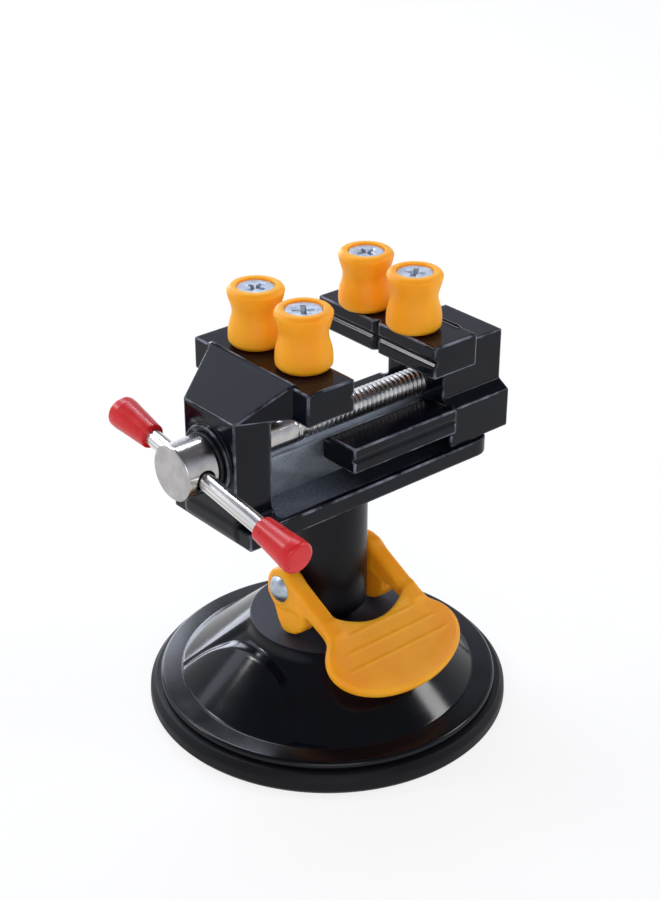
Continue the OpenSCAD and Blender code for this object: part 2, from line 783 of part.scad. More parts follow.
// Waisted roller standing on a jaw
module roller(x, y) {
    roller_r = roller_d / 2;
    depth = (roller_d - waist_d) / 2;
    span = roller_h - 2 * roller_round;
    hollow_r = (span * span / 4 + depth * depth) / (2 * depth);
    color("#e8b32a") translate([x, y, roller_z]) difference() {
        rotate_extrude() difference() {
            union() {
                square([roller_r - roller_round, roller_h]);
                translate([0, roller_round]) square([roller_r, roller_h - 2 * roller_round]);
                for (z = [roller_round, roller_h - roller_round]) {
                    translate([roller_r - roller_round, z]) circle(roller_round);
                }
            }
            translate([waist_d / 2 + hollow_r, roller_h * 0.53]) circle(hollow_r, $fn = 128);
        }
        translate([0, 0, -past]) cylinder(h = roller_h + 2 * past, r = bolt_r + run_clear);
        translate([0, 0, roller_h - bolt_sink])
            flat_seat(bolt_r, bolt_head_r, bolt_head_h, slide_gap, bolt_sink + past);
    }
}

module roller_front_left() {
    roller(-roller_spacing / 2, front_roller_y);
}

module roller_front_right() {
    roller(roller_spacing / 2, front_roller_y);
}

module roller_rear_left() {
    roller(-roller_spacing / 2, rear_roller_y);
}

module roller_rear_right() {
    roller(roller_spacing / 2, rear_roller_y);
}

suction_rim();
base_cover();
suction_diaphragm();
pull_stud();
column();
pivot_rivet();
lever();
vise_body();
thrust_washer();
front_roller_screws();
spindle();
lead_screw();
spindle_pin();
retaining_ring();
tommy_bar();
bar_cap_left();
bar_cap_right();
moving_jaw();
rear_roller_screws();
roller_front_left();
roller_front_right();
roller_rear_left();
roller_rear_right();
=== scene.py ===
# %% [markdown]
# # A small bench vise for circuit boards
# The vise stands on a suction base. A column carries a cast bed with a fixed front jaw, a lead screw draws the
# rear jaw along a rail, and four plastic rollers on the jaws hold a board by its edges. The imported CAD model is
# the frame of this scene: every visible piece below is fitted to one of its nodes and rides on one of its bodies.

# %% Load the frame
import json
import math

import bmesh
import bpy
import numpy as np
import openvdb
from mathutils import Matrix, Vector


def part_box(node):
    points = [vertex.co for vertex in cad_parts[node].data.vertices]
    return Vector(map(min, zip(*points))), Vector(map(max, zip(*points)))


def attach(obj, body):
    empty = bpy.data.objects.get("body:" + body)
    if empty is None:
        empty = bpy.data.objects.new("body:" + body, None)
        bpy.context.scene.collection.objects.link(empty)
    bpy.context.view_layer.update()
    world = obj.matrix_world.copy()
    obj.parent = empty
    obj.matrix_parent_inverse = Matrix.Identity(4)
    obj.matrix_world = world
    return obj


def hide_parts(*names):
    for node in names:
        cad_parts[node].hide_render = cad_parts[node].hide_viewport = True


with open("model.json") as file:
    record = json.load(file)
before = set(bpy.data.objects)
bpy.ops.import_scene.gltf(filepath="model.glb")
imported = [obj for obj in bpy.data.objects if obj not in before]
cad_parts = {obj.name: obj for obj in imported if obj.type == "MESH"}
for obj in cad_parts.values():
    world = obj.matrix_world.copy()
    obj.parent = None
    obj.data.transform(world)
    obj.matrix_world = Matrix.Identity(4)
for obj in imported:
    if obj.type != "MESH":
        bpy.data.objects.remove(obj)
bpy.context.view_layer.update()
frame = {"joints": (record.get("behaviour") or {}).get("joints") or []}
MM = 0.001


# %% [markdown]
# ## Sizes
# A scene that copies sizes by eye drifts away from the solids. Here each node's box is read from the frame, in
# millimetres, and the few sizes that a box can't tell, such as the foot of the cone, are named beside it.

# %% Sizes from the frame
def span(node):
    """Lowest and highest corner of a CAD node, in millimetres."""
    low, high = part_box(node)
    return Vector(low) / MM, Vector(high) / MM


base_r, rim_h = span("suction_rim")[1].x, span("suction_rim")[1].z
flange_r, platform_z = span("base_cover")[1].x, span("base_cover")[1].z
flange_top, cone_r, platform_r = rim_h + 2.2, 36.0, 18.8
column_low, column_high = span("column")
column_r, column_foot, neck_r = column_high.x, 25.6, 6.0
bed_low, jaw_high = span("vise_body")
bed_top, bed_rear, jaw_half, jaw_top = bed_low.z + 4.3, jaw_high.y, jaw_high.x, jaw_high.z
jaw_floor = jaw_top - 7.8
spindle_low, spindle_high = span("spindle")
axis_z = (spindle_low.z + spindle_high.z) / 2
pivot_z = (span("pivot_rivet")[0].z + span("pivot_rivet")[1].z) / 2
pillar_front, pillar_rear, front_face, rear_face = -34.0, -23.5, -9.3, 14.4
bed_half, trough_half, pillar_half = 14.1, 12.1, 9.1
block_front, block_rear = 27.5, span("moving_jaw")[1].y
print(f"base {2 * base_r:.1f} mm across, screw axis at {axis_z:.1f} mm, jaws' top at {jaw_top:.1f} mm")


# %% [markdown]
# ## Turned pieces
# Rim, column, rivet, bar, caps and rollers are all bodies of revolution. A modifier could spin a profile, but a
# small function that builds the rings itself keeps the pole closed and puts the piece straight in its place.
# The corners of a profile are rounded first, because a real edge always catches a line of light.

# %% Lathe
def soften(points, radius, steps=5, closed=False):
    """Rounds the corners of a profile by one radius, or by one for each point."""
    radii = radius if isinstance(radius, (list, tuple)) else [radius] * len(points)
    out = []
    for i, here in enumerate(points):
        inner = closed or 0 < i < len(points) - 1
        p = Vector(here)
        a, b = Vector(points[i - 1]) - p, Vector(points[(i + 1) % len(points)]) - p
        if not inner or radii[i] < 1e-6 or min(a.length, b.length) < 1e-6:
            out.append(p)
            continue
        half = a.angle(b) / 2
        if half > math.radians(88):
            out.append(p)
            continue
        reach = min(radii[i] / math.tan(half), 0.48 * a.length, 0.48 * b.length)
        r = reach * math.tan(half)
        middle = p + (a.normalized() + b.normalized()).normalized() * (r / math.sin(half))
        start, end = p + a.normalized() * reach - middle, p + b.normalized() * reach - middle
        turn = start.angle(end)
        for k in range(steps + 1):
            t = k / steps
            out.append(middle + (start * math.sin((1 - t) * turn) + end * math.sin(t * turn)) / math.sin(turn))
    return out


def lathe(bm, profile, place=Matrix(), around=96, closed=False):
    """Spins (radius, height) points round Z, in millimetres, and lays the result in place in a bmesh."""
    fresh = bmesh.new()
    rings = []
    for r, h in profile:
        count = 1 if r < 1e-6 else around
        rings.append([fresh.verts.new((r * math.cos(2 * math.pi * k / around),
                                       r * math.sin(2 * math.pi * k / around), h)) for k in range(count)])
    for low, high in list(zip(rings, rings[1:])) + ([(rings[-1], rings[0])] if closed else []):
        for k in range(around):
            n = (k + 1) % around
            corners = [low[k % len(low)], low[n % len(low)], high[n % len(high)], high[k % len(high)]]
            corners = list(dict.fromkeys(corners))
            if len(corners) > 2:
                fresh.faces.new(corners)
    bmesh.ops.recalc_face_normals(fresh, faces=fresh.faces)
    fresh.transform(Matrix.Scale(MM, 4) @ place)
    made = bpy.data.meshes.new("turned")
    fresh.to_mesh(made)
    fresh.free()
    bm.from_mesh(made)
    bpy.data.meshes.remove(made)


def along_screw(y=0.0):
    """Turns a piece from Z to the screw's axis, its start at y."""
    return Matrix.Translation((0, y, axis_z)) @ Matrix.Rotation(math.radians(-90), 4, "X")


def to_mesh(bm, name, finish, sharp=33):
    """A mesh from a bmesh, smooth but for edges sharper than an angle in degrees."""
    mesh = bpy.data.meshes.new(name)
    bm.to_mesh(mesh)
    bm.free()
    mesh.shade_smooth()
    mesh.set_sharp_from_angle(angle=math.radians(sharp))
    mesh.materials.append(finish)
    return mesh


def put(name, data):
    """Puts a mesh, a lamp or a camera in the scene as an object."""
    obj = bpy.data.objects.new(name, data)
    bpy.context.scene.collection.objects.link(obj)
    return obj


def add_piece(mesh, body, slot, *nodes):
    """Puts a finished mesh in the scene, on the body it moves with, in place of CAD nodes."""
    obj = put(mesh.name, mesh)
    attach(obj, body)
    if nodes:
        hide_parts(*nodes)
    print(f"{obj.name}: {len(mesh.polygons)} faces on {body}")


def add_turned(name, profile, finish, body, slot, node, place=Matrix(), around=96, closed=False, sharp=33):
    """A whole turned piece: spun, laid in place and put in the scene."""
    bm = bmesh.new()
    lathe(bm, profile, place, around, closed)
    add_piece(to_mesh(bm, name, finish, sharp), body, slot, node)


print("lathe ready")


# %% [markdown]
# ## Cast and moulded pieces
# A casting has no sharp corner: its outer edges are rounded and its inner corners run into each other in
# fillets. Bevel does this well on one box, and badly where many boxes meet. A distance field does it
# everywhere at once: each part of the casting says how far every point of a grid is from it, two parts are
# joined by a smooth minimum, and the surface where the distance is 0 becomes the mesh. The field also gives
# exact normals, and its bend tells where the edges are, which the paint makes paler, partly as wear and partly
# as a painted highlight.

# %% Distance fields
class Field:
    """A block of space on an even grid, in millimetres."""

    def __init__(self, low, high, step):
        self.step, self.low = step, np.array(low, float) - 4 * step
        counts = np.ceil((np.array(high, float) - self.low) / step).astype(int) + 5
        axes = [(self.low[i] + step * np.arange(counts[i])).astype(np.float32) for i in range(3)]
        self.x, self.y, self.z = np.meshgrid(*axes, indexing="ij", sparse=True)
        self.shape = tuple(counts)


def inset(points, by):
    """An outline, counter-clockwise, moved inwards."""
    out = []
    for i, here in enumerate(points):
        p, a, b = Vector(here), Vector(points[i - 1]), Vector(points[(i + 1) % len(points)])
        e, f = (p - a).normalized(), (b - p).normalized()
        n, m = Vector((-e.y, e.x)), Vector((-f.y, f.x))
        out.append(p + (n + m) * (by / (1 + n.dot(m))))
    return out


def outline(points, u, v):
    """Distance in the plane of u and v to a closed outline, below 0 inside."""
    u, v = np.broadcast_arrays(u, v)
    nearest, sign = np.full(u.shape, 1e9, np.float32), np.ones(u.shape, np.float32)
    for (ax, ay), (bx, by) in zip(points, points[-1:] + points[:-1]):
        ex, ey, px, py = bx - ax, by - ay, u - ax, v - ay
        t = np.clip((px * ex + py * ey) / (ex * ex + ey * ey), 0, 1)
        nearest = np.minimum(nearest, (px - ex * t) ** 2 + (py - ey * t) ** 2)
        above, below, left = v >= ay, v < by, ex * py > ey * px
        sign = np.where((above & below & left) | ~(above | below | left), -sign, sign)
    return sign * np.sqrt(nearest)


def box_outline(u0, u1, v0, v1):
    """Outline of a rectangle."""
    return [(u0, v0), (u1, v0), (u1, v1), (u0, v1)]


def mirrored(points):
    """The right half of an outline, made whole with its mirror image."""
    return [Vector(p) for p in points] + [Vector((-u, v)) for u, v in reversed(points)]


def extrude(flat, w, low, high, soft):
    """Gives a flat distance, already inset by soft, a height along w and round edges."""
    tall = np.abs(w - (low + high) / 2) - ((high - low) / 2 - soft)
    inside = np.minimum(np.maximum(flat, tall), 0)
    return inside + np.hypot(np.maximum(flat, 0), np.maximum(tall, 0)) - soft


def prism(points, u, v, w, low, high, soft):
    """An outline in the plane of u and v with a height along w."""
    return extrude(outline(inset(points, soft), u, v), w, low, high, soft)


def drum(u, v, at, radius, w, low, high, soft):
    """A round disc in the plane of u and v with a height along w."""
    return extrude(np.hypot(u - at[0], v - at[1]) - (radius - soft), w, low, high, soft)


def join(a, b, fillet):
    """Union of two shapes with a fillet where they meet."""
    near = np.maximum(fillet - np.abs(a - b), 0) / fillet
    return np.minimum(a, b) - near * near * fillet / 4


def cut(a, b, soft):
    """Shape a without shape b, the new edge rounded."""
    return -join(-a, b, soft)


print("fields ready")


# %% Skin of a field
def sample(values, at):
    """Values of a grid between its points, at places given in grid steps."""
    top = np.array(values.shape) - 2
    base = np.clip(np.floor(at).astype(int), 0, top)
    f = at - base
    total = np.zeros(len(at))
    for corner in np.ndindex(2, 2, 2):
        weight = np.prod(np.where(corner, f, 1 - f), axis=1)
        i, j, k = (base + corner).T
        total += weight * values[i, j, k]
    return total


def skin(field, shape, name, finish, flatness=0.0):
    """The surface of a shape as a mesh with the field's own normals, and its edges marked by their bend for the paler
    paint there, partly worn and partly a painted highlight.
    """
    shape = np.broadcast_to(shape, field.shape).astype(np.float32)
    grid = openvdb.FloatGrid()
    grid.copyFromArray(np.ascontiguousarray(np.clip(shape / field.step, -3, 3)))
    points, triangles, quads = grid.convertToPolygons(isovalue=0.0, adaptivity=flatness)
    points = np.asarray(points, float)
    slope, bend = np.zeros_like(points), np.zeros(len(points))
    for axis in range(3):
        shift = np.zeros(3)
        shift[axis] = 1.0
        slope[:, axis] = sample(shape, points + shift) - sample(shape, points - shift)
        bend += sample(shape, points + 2 * shift) + sample(shape, points - 2 * shift)
    bend = (bend - 6 * sample(shape, points)) / (2 * field.step) ** 2
    slope /= np.maximum(np.linalg.norm(slope, axis=1), 1e-9)[:, None]
    mesh = bpy.data.meshes.new(name)
    corners = field.low + points * field.step
    mesh.from_pydata((corners * MM).tolist(), [], [*triangles.tolist(), *quads.tolist()])
    mesh.shade_smooth()
    edge = mesh.attributes.new("edge", "FLOAT", "POINT")
    edge.data.foreach_set("value", np.clip(bend, 0, 2).astype(np.float32))
    mesh.materials.append(finish)
    mesh.normals_split_custom_set_from_vertices(slope.tolist())
    return mesh


print("skin ready")


# %% [markdown]
# ## Finishes
# Each finish is one Principled shader with noise on Object coordinates, so that its grain has a real size in
# millimetres and stays put when a piece moves. Colours are written as they look on a screen and turned into
# the linear values that the shader takes. What is the same all over is set on the shader's own sockets.

# %% Node helper
def grow(tree, kind, inputs=(), output=0, **settings):
    """Adds one node to a tree, feeds it with values or with other nodes' outputs, and returns one of its outputs."""
    made = tree.nodes.new(kind)
    for key, value in settings.items():
        setattr(made, key, value)
    for key, value in dict(inputs).items():
        for item in value if isinstance(value, list) else [value]:
            if isinstance(item, bpy.types.NodeSocket):
                tree.links.new(item, made.inputs[key])
            else:
                made.inputs[key].default_value = item
    return made.outputs[output]


def reckon(tree, operation, *values):
    """Adds one Math node and returns its result."""
    return grow(tree, "ShaderNodeMath", dict(enumerate(values)), operation=operation)


print("node helper ready")


# %% Finish helper
def tint(r, g, b):
    """A colour as seen on a screen, 0 to 255, in the linear values of a shader."""
    return tuple(c / 255 / 12.92 if c <= 10 else ((c / 255 + 0.055) / 1.055) ** 2.4 for c in (r, g, b)) + (1.0,)


class Finish:
    """One procedural material, with short names for the nodes it is built from."""

    def __init__(self, name, sockets):
        self.material = bpy.data.materials.new(name)
        self.material.use_nodes = True
        self.tree = self.material.node_tree
        self.shader = self.tree.nodes["Principled BSDF"]
        for socket, value in sockets.items():
            self.shader.inputs[socket].default_value = value
        self.place = self.node("TexCoord", output="Object")

    def node(self, kind, inputs=(), output=0, **settings):
        """Adds one shader node and returns one of its outputs."""
        return grow(self.tree, "ShaderNode" + kind, inputs, output, **settings)

    def grain(self, size, stretch=(1, 1, 1), turn=(0, 0, 0), seed=0.0, detail=3.0, source=None):
        """Noise with spots of a size in millimetres, drawn out along the axes by stretch."""
        mapping = self.node("Mapping", {"Vector": source or self.place, "Rotation": turn, "Location": (seed,) * 3,
                                        "Scale": tuple(size * MM * s for s in stretch)}, vector_type="TEXTURE")
        return self.node("TexNoise", {"Vector": mapping, "Scale": 1.0, "Detail": detail, "Roughness": 0.55}, "Fac")

    def spread(self, source, low, high, start=0.3, end=0.7):
        """Maps a value that runs from start to end to a range from low to high."""
        return self.node("MapRange", {"Value": source, "From Min": start, "From Max": end, "To Min": low,
                                      "To Max": high})

    def reckon(self, operation, *values):
        """One Math node of this material."""
        return reckon(self.tree, operation, *values)

    def mix(self, factor, a, b):
        """Goes from colour a to colour b as the factor goes from 0 to 1."""
        return self.node("Mix", {0: factor, 6: a, 7: b}, 2, data_type="RGBA")

    def blend(self, factor, a, b):
        """Goes from number a to number b as the factor goes from 0 to 1."""
        return self.node("Mix", {0: factor, 2: a, 3: b}, data_type="FLOAT")

    def coordinate(self, axis):
        """Place along one axis of the object, in metres."""
        return self.node("SeparateXYZ", {0: self.place}, axis)

    def turned(self, middle, along):
        """Distance from an axis and place along it: marks that follow it run round, as a lathe leaves them."""
        offset = self.node("VectorMath", {0: self.place, 1: tuple(m * MM for m in middle)}, operation="SUBTRACT")
        part = self.node("VectorMath", {0: offset, 1: along}, "Value", operation="DOT_PRODUCT")
        whole = self.node("VectorMath", {0: offset, 1: along}, operation="CROSS_PRODUCT")
        radius = self.node("VectorMath", {0: whole}, "Value", operation="LENGTH")
        return self.node("CombineXYZ", {"X": radius, "Y": part})

    def edge_bend(self):
        """How sharply the surface bends, as the skin of a field has it."""
        return self.node("Attribute", output="Fac", attribute_name="edge", attribute_type="GEOMETRY")

    def done(self, colour, roughness, relief, depth, strength):
        """Feeds the shader and returns the material. Depth of the relief is in millimetres."""
        bump = self.node("Bump", {"Strength": strength, "Distance": depth * MM, "Height": relief})
        for socket, value in (("Base Color", colour), ("Roughness", roughness), ("Normal", bump)):
            self.tree.links.new(value, self.shader.inputs[socket])
        print(f"finish {self.material.name}: {len(self.tree.nodes)} nodes")
        return self.material


def mottled(name, sockets, shade, light, rough, patches, grains, depth, strength):
    """A finish whose colour and gloss drift in patches, below a fine grain."""
    f = Finish(name, sockets)
    drift = f.grain(**patches)
    colour = f.mix(f.spread(drift, 0, 1), tint(*shade), tint(*light))
    return f.done(colour, f.spread(drift, *rough), f.grain(**grains), depth, strength)


# %% [markdown]
# ### Black finishes
# The castings have glossy black enamel: nearly black, with a faint orange-peel skin, and paler in places along
# the edges, partly from wear and partly as a painted highlight. The dome is glossy plastic, but its platform is
# satin from the mould, and its lighter grey there is partly a painted sheen. The column is satin paint, and the
# rubber rim is matt. One black for all of them would lose those differences.

# %% Black finishes
def make_enamel(name, bed=False):
    """Black enamel. On the bed, the trough floor behind the pillar is a lighter, grained blue-grey that fades towards
    the rear: partly uncoated grey metal, partly a painted reflection made brighter against its shade.
    """
    f = Finish(name, {"Specular IOR Level": 0.16})
    patch, peel = f.grain(7.0), f.grain(0.7, seed=3.0)
    # Paler enamel along sharp edges, broken up by noise: partly worn paint, partly a painted highlight.
    edge_wear_and_highlight, wear_and_highlight_gaps = f.spread(f.edge_bend(), 0, 1, 0.85, 1.6), f.spread(f.grain(6.0, seed=9.0), 0.05, 1.0, 0.42, 0.64)
    colour = f.mix(f.spread(patch, 0, 1), tint(8, 9, 16), tint(13, 15, 24))
    colour = f.mix(f.reckon("MULTIPLY", edge_wear_and_highlight, wear_and_highlight_gaps), colour, tint(116, 121, 131))
    rough = f.spread(patch, 0.1, 0.17)
    if bed:
        # On the bed, the trough floor is paler: partly uncoated metal, partly a painted reflection made brighter
        # against the trough's shade, and it fades towards the rear.
        across, along, up = f.reckon("ABSOLUTE", f.coordinate("X")), f.coordinate("Y"), f.coordinate("Z")
        limits = ((up, 1, 0, bed_top - 0.9, bed_top - 0.6), (up, 0, 1, bed_top - 3, bed_top - 2),
                  (across, 1, 0, trough_half - 0.2, trough_half + 0.1), (along, 0, 1, pillar_rear - 1, pillar_rear),
                  (along, 1, 0.12, front_face - 2, front_face + 12))
        bare_and_reflection, *others = [f.spread(place, low, high, start * MM, end * MM) for place, low, high, start, end in limits]
        for other in others:
            bare_and_reflection = f.reckon("MULTIPLY", bare_and_reflection, other)
        metal = f.mix(f.spread(f.grain(0.8, seed=6.0), 0, 1), tint(84, 90, 103), tint(116, 122, 136))
        colour, rough = f.mix(bare_and_reflection, colour, metal), f.blend(bare_and_reflection, rough, 0.45)
    return f.done(colour, rough, peel, 0.02, 0.12)


def make_cover():
    """Black plastic, glossy on the cone, a little less so on the flange, and duller on the platform, whose lighter grey
    is partly a painted sheen.
    """
    f = Finish("dome_plastic", {"Specular IOR Level": 0.24})
    patch, peel = f.grain(9.0), f.grain(0.5, seed=2.0)
    z = f.coordinate("Z")
    satin_and_sheen = f.spread(z, 0, 1, (platform_z - 0.25) * MM, (platform_z - 0.1) * MM)
    flange = f.spread(z, 1, 0, (flange_top + 0.02) * MM, (flange_top + 0.3) * MM)
    # The platform is painted a lighter grey: partly its own dull skin, partly a painted sheen.
    colour = f.mix(satin_and_sheen, f.mix(f.spread(patch, 0, 1), tint(7, 8, 12), tint(11, 12, 17)), tint(36, 38, 47))
    rough = f.blend(flange, f.spread(patch, 0.09, 0.15), f.spread(patch, 0.16, 0.24))
    return f.done(colour, f.blend(satin_and_sheen, rough, f.spread(peel, 0.42, 0.56)), peel, 0.02, 0.3)


enamel, bed_enamel, dome_plastic = make_enamel("black_enamel"), make_enamel("bed_enamel", True), make_cover()
rim_rubber = mottled("rim_rubber", {"Specular IOR Level": 0.16}, (10, 10, 14), (16, 17, 22), (0.42, 0.58),
                     dict(size=11.0, detail=5.0), dict(size=0.35, seed=4.0), 0.03, 0.2)
column_paint = mottled("column_paint", {"Specular IOR Level": 0.18}, (8, 8, 13), (12, 13, 18), (0.26, 0.36),
                       dict(size=6.0), dict(size=0.5, seed=5.0), 0.015, 0.15)


# %% [markdown]
# ### Bright plastics
# Lever and rollers are moulded in the same kind of plastic, which lets a little light in, so shadows on it stay
# warm: the shader's Subsurface sockets do that. The caps on the bar are dipped vinyl and let in less.

# %% Bright plastics
moulded = {"Specular IOR Level": 0.22, "Subsurface Weight": 0.75, "Subsurface Scale": 0.005,
           "Subsurface Radius": (1.0, 0.5, 0.12)}
dipped = {"Specular IOR Level": 0.35, "Subsurface Weight": 0.06, "Subsurface Scale": 0.002,
          "Subsurface Radius": (1.0, 0.2, 0.15)}
lever_plastic = mottled("lever_plastic", moulded, (236, 152, 20), (246, 168, 36), (0.36, 0.46),
                        dict(size=13.0, stretch=(1, 1, 2), seed=1.0), dict(size=0.6, seed=2.0), 0.02, 0.12)
roller_plastic = mottled("roller_plastic", moulded, (244, 154, 20), (252, 170, 34), (0.38, 0.48),
                         dict(size=13.0, stretch=(1, 1, 2), seed=5.0), dict(size=0.6, seed=6.0), 0.02, 0.12)
cap_vinyl = mottled("cap_vinyl", dipped, (196, 20, 24), (210, 34, 37), (0.26, 0.36), dict(size=4.0, seed=7.0),
                    dict(size=0.4, seed=8.0), 0.03, 0.2)


# %% [markdown]
# ### Bare metals
# A lathe leaves fine rings on what it turns, so the marks on spindle and screw are noise on the distance from
# the axis and the place along it, and they change the gloss. The bar was drawn through a die, so it has streaks
# along it; their light and dark bands are partly die marks and partly a painted reflection. The rail is as it was
# cast, stained and specked.

# %% Bare metals
def make_turned(name, shade, light, rough, middle, along, mark=0.12):
    """Turned metal with rings round an axis, duller on the front face of the spindle's head."""
    f = Finish(name, {"Metallic": 1.0})
    rings = f.grain(mark, source=f.turned(middle, along), detail=2.0)
    cloud = f.grain(3.5, seed=2.0)
    dull_face = f.spread(f.coordinate("Y"), 0.16, 0, (spindle_low.y + 0.1) * MM, (spindle_low.y + 0.4) * MM)
    worked = f.spread(rings, rough, rough + 0.12, 0.25, 0.75)
    return f.done(f.mix(f.spread(cloud, 0, 1), shade, light), f.reckon("ADD", worked, dull_face), rings, 0.005, 0.2)


def make_drawn(name, tilt):
    """Drawn metal with streaks along a bar that is tilted about Y, light and dark partly as die marks and partly as a
    painted reflection.
    """
    f = Finish(name, {"Metallic": 1.0})
    # Light and dark bands along the bar: partly die marks, partly a painted reflection.
    die_streak_and_reflection = f.grain(0.45, (120, 1, 1), (0, tilt, 0), detail=2.0)
    cloud = f.grain(5.0, (3, 1, 1), (0, tilt, 0), seed=3.0)
    return f.done(f.mix(f.spread(die_streak_and_reflection, 0, 1, 0.36, 0.62), tint(158, 155, 152), tint(244, 243, 240)),
                  f.spread(cloud, 0.24, 0.34), die_streak_and_reflection, 0.01, 0.35)


def make_rail_metal():
    """Bare cast metal with stains and dark specks."""
    f = Finish("rail_metal", {"Metallic": 0.75})
    speck, stain = f.grain(0.6, seed=2.0), f.grain(3.0, (1, 2, 1), seed=4.0, detail=5.0)
    colour = f.mix(f.spread(stain, 0, 1), tint(122, 128, 138), tint(158, 165, 174))
    colour = f.mix(f.spread(speck, 0.7, 0, 0.3, 0.42), colour, tint(66, 70, 78))
    return f.done(colour, f.spread(stain, 0.42, 0.56), speck, 0.03, 0.3)


screw_line = (0, 0, axis_z)
bar_axis = Vector(next(j["axis"] for j in frame["joints"] if j["name"] == "bar_slide"))
bar_tilt = math.atan2(-bar_axis.z, bar_axis.x)
head_nickel = make_turned("head_nickel", tint(166, 163, 162), tint(190, 187, 185), 0.14, screw_line, (0, 1, 0))
screw_steel = make_turned("screw_steel", tint(196, 196, 196), tint(222, 222, 222), 0.2, screw_line, (0, 1, 0), 0.2)
bar_steel, rail_metal = make_drawn("bar_steel", bar_tilt), make_rail_metal()
screw_zinc = mottled("screw_zinc", {"Metallic": 1.0}, (154, 164, 176), (186, 196, 207), (0.34, 0.46), dict(size=1.3),
                     dict(size=0.3, seed=6.0), 0.006, 0.1)
blackened_steel = mottled("blackened_steel", {"Metallic": 0.7}, (34, 35, 38), (58, 60, 64), (0.35, 0.5),
                          dict(size=1.6), dict(size=1.6), 0.01, 0.1)


# %% [markdown]
# ## Suction base
# The rubber rim and the cup below it are plain turned pieces. The dome is turned too, and then two hollows are
# pressed into its cone, in front and behind. Each starts at a crisp straight ridge, runs out on its other side and
# ends below in a round arch. Carving the mesh would leave ragged edges, so a formula moves each point of a fine
# lathe mesh inwards.

# %% Rubber rim and cup
rim_inner = cone_r - 2.4
rim_profile = [(rim_inner, 1.6), (rim_inner + 2, 0), (base_r - 1, 0), (base_r, 1.2), (base_r - 0.15, rim_h - 1.6),
               (base_r - 1.4, rim_h), (rim_inner, rim_h)]
add_turned("rubber_rim", soften(rim_profile, [0.3, 0.5, 0.8, 1.0, 1.4, 0.7, 0.3], closed=True), rim_rubber, "base",
           "rubber", "suction_rim", around=192, closed=True)

cup_low, cup_high = span("suction_diaphragm")
cup_profile = [(0, cup_low.z), (cup_high.x - 5, cup_low.z), (cup_high.x, cup_high.z - 1.4), (cup_high.x, cup_high.z),
               (0, cup_high.z)]
add_turned("rubber_cup", soften(cup_profile, 0.6), rim_rubber, "column", "rubber", "suction_diaphragm", around=128)


# %% Dome with its hollows
hollow_depth, ridge_top, ridge_foot = 1.4, platform_r * 0.49, cone_r * 0.62
arch_r = 24.0
arch_z = platform_z - 3.9 - arch_r
hole_r, sleeve_r, sleeve_z, wall = neck_r + 0.06, neck_r + 3.06, platform_z - 9.7, 2.7
lip_r = flange_r - 1.1
cone_steps = 72
wall_in = [(rim_inner, rim_h), (cone_r - 3.1, rim_h + 0.6), (16.5, platform_z - wall), (sleeve_r, platform_z - wall),
           (sleeve_r, sleeve_z), (hole_r, sleeve_z), (hole_r, platform_z)]
top_edge = soften([(hole_r, platform_z), (platform_r, platform_z), (cone_r, flange_top), (flange_r, flange_top - 0.25),
                   (flange_r, rim_h), (lip_r, rim_h)], [0, 0.5, 1.2, 1.05, 1.05, 0], 6)
longest = max(range(2, len(top_edge)), key=lambda i: (top_edge[i] - top_edge[i - 1]).length)
cone_line = [top_edge[longest - 1].lerp(top_edge[longest], k / cone_steps) for k in range(1, cone_steps)]
profile = top_edge[:longest] + cone_line + top_edge[longest:] + [Vector(p) for p in wall_in]


def ease(value, low, high):
    """Goes smoothly from 0 at low to 1 at high."""
    t = min(max((value - low) / (high - low), 0.0), 1.0)
    return t * t * (3 - 2 * t)


def hollow(across, z):
    """How deep the hollow is at a place on the cone, in millimetres: one ridge is crisp, the other runs out."""
    down = (platform_z - z) / (platform_z - flange_top)
    ridge = ridge_top + (ridge_foot - ridge_top) * down
    inside = ease(ridge + across, -0.2, 2.6) * ease(ridge + 9 - across, 0.0, 13.0) * ease(platform_z - z, 0.0, 3.0)
    return hollow_depth * inside * ease(math.hypot(across, z - arch_z) - arch_r, -0.2, 1.0)


bm = bmesh.new()
lathe(bm, profile, around=448, closed=True)
for vert in bm.verts:
    p = vert.co / MM
    r, down = math.hypot(p.x, p.y), (platform_z - p.z) / (platform_z - flange_top)
    on_cone = r > platform_r + (cone_r - platform_r) * down - 1.2 and p.z > flange_top + 0.2
    if on_cone:
        deep = hollow(p.x if p.y < 0 else -p.x, p.z)
        vert.co.x *= 1 - deep / r
        vert.co.y *= 1 - deep / r
bmesh.ops.recalc_face_normals(bm, faces=bm.faces)
add_piece(to_mesh(bm, "dome", dome_plastic, sharp=50), "base", "cover", "base_cover")


# %% Column, its stud and the rivet
tenon_r = column_r - 4
post_profile = [(0, column_low.z), (neck_r, column_low.z), (neck_r, column_foot), (column_r, column_foot),
                (column_r, bed_low.z), (tenon_r, bed_low.z), (tenon_r, column_high.z), (0, column_high.z)]
add_turned("post", soften(post_profile, [0, 0.4, 0.3, 3.3, 0.3, 0.1, 0.3, 0], 8), column_paint, "column", "column",
           "column")

stud_low, stud_high = span("pull_stud")
stud_r, disc_top = 3, stud_low.z + 2
stud_profile = [(0, stud_low.z), (stud_high.x, stud_low.z), (stud_high.x, disc_top), (stud_r, disc_top),
                (stud_r, stud_high.z), (0, stud_high.z)]
add_turned("cup_stud", soften(stud_profile, 0.4), screw_zinc, "column", "zinc", "pull_stud")

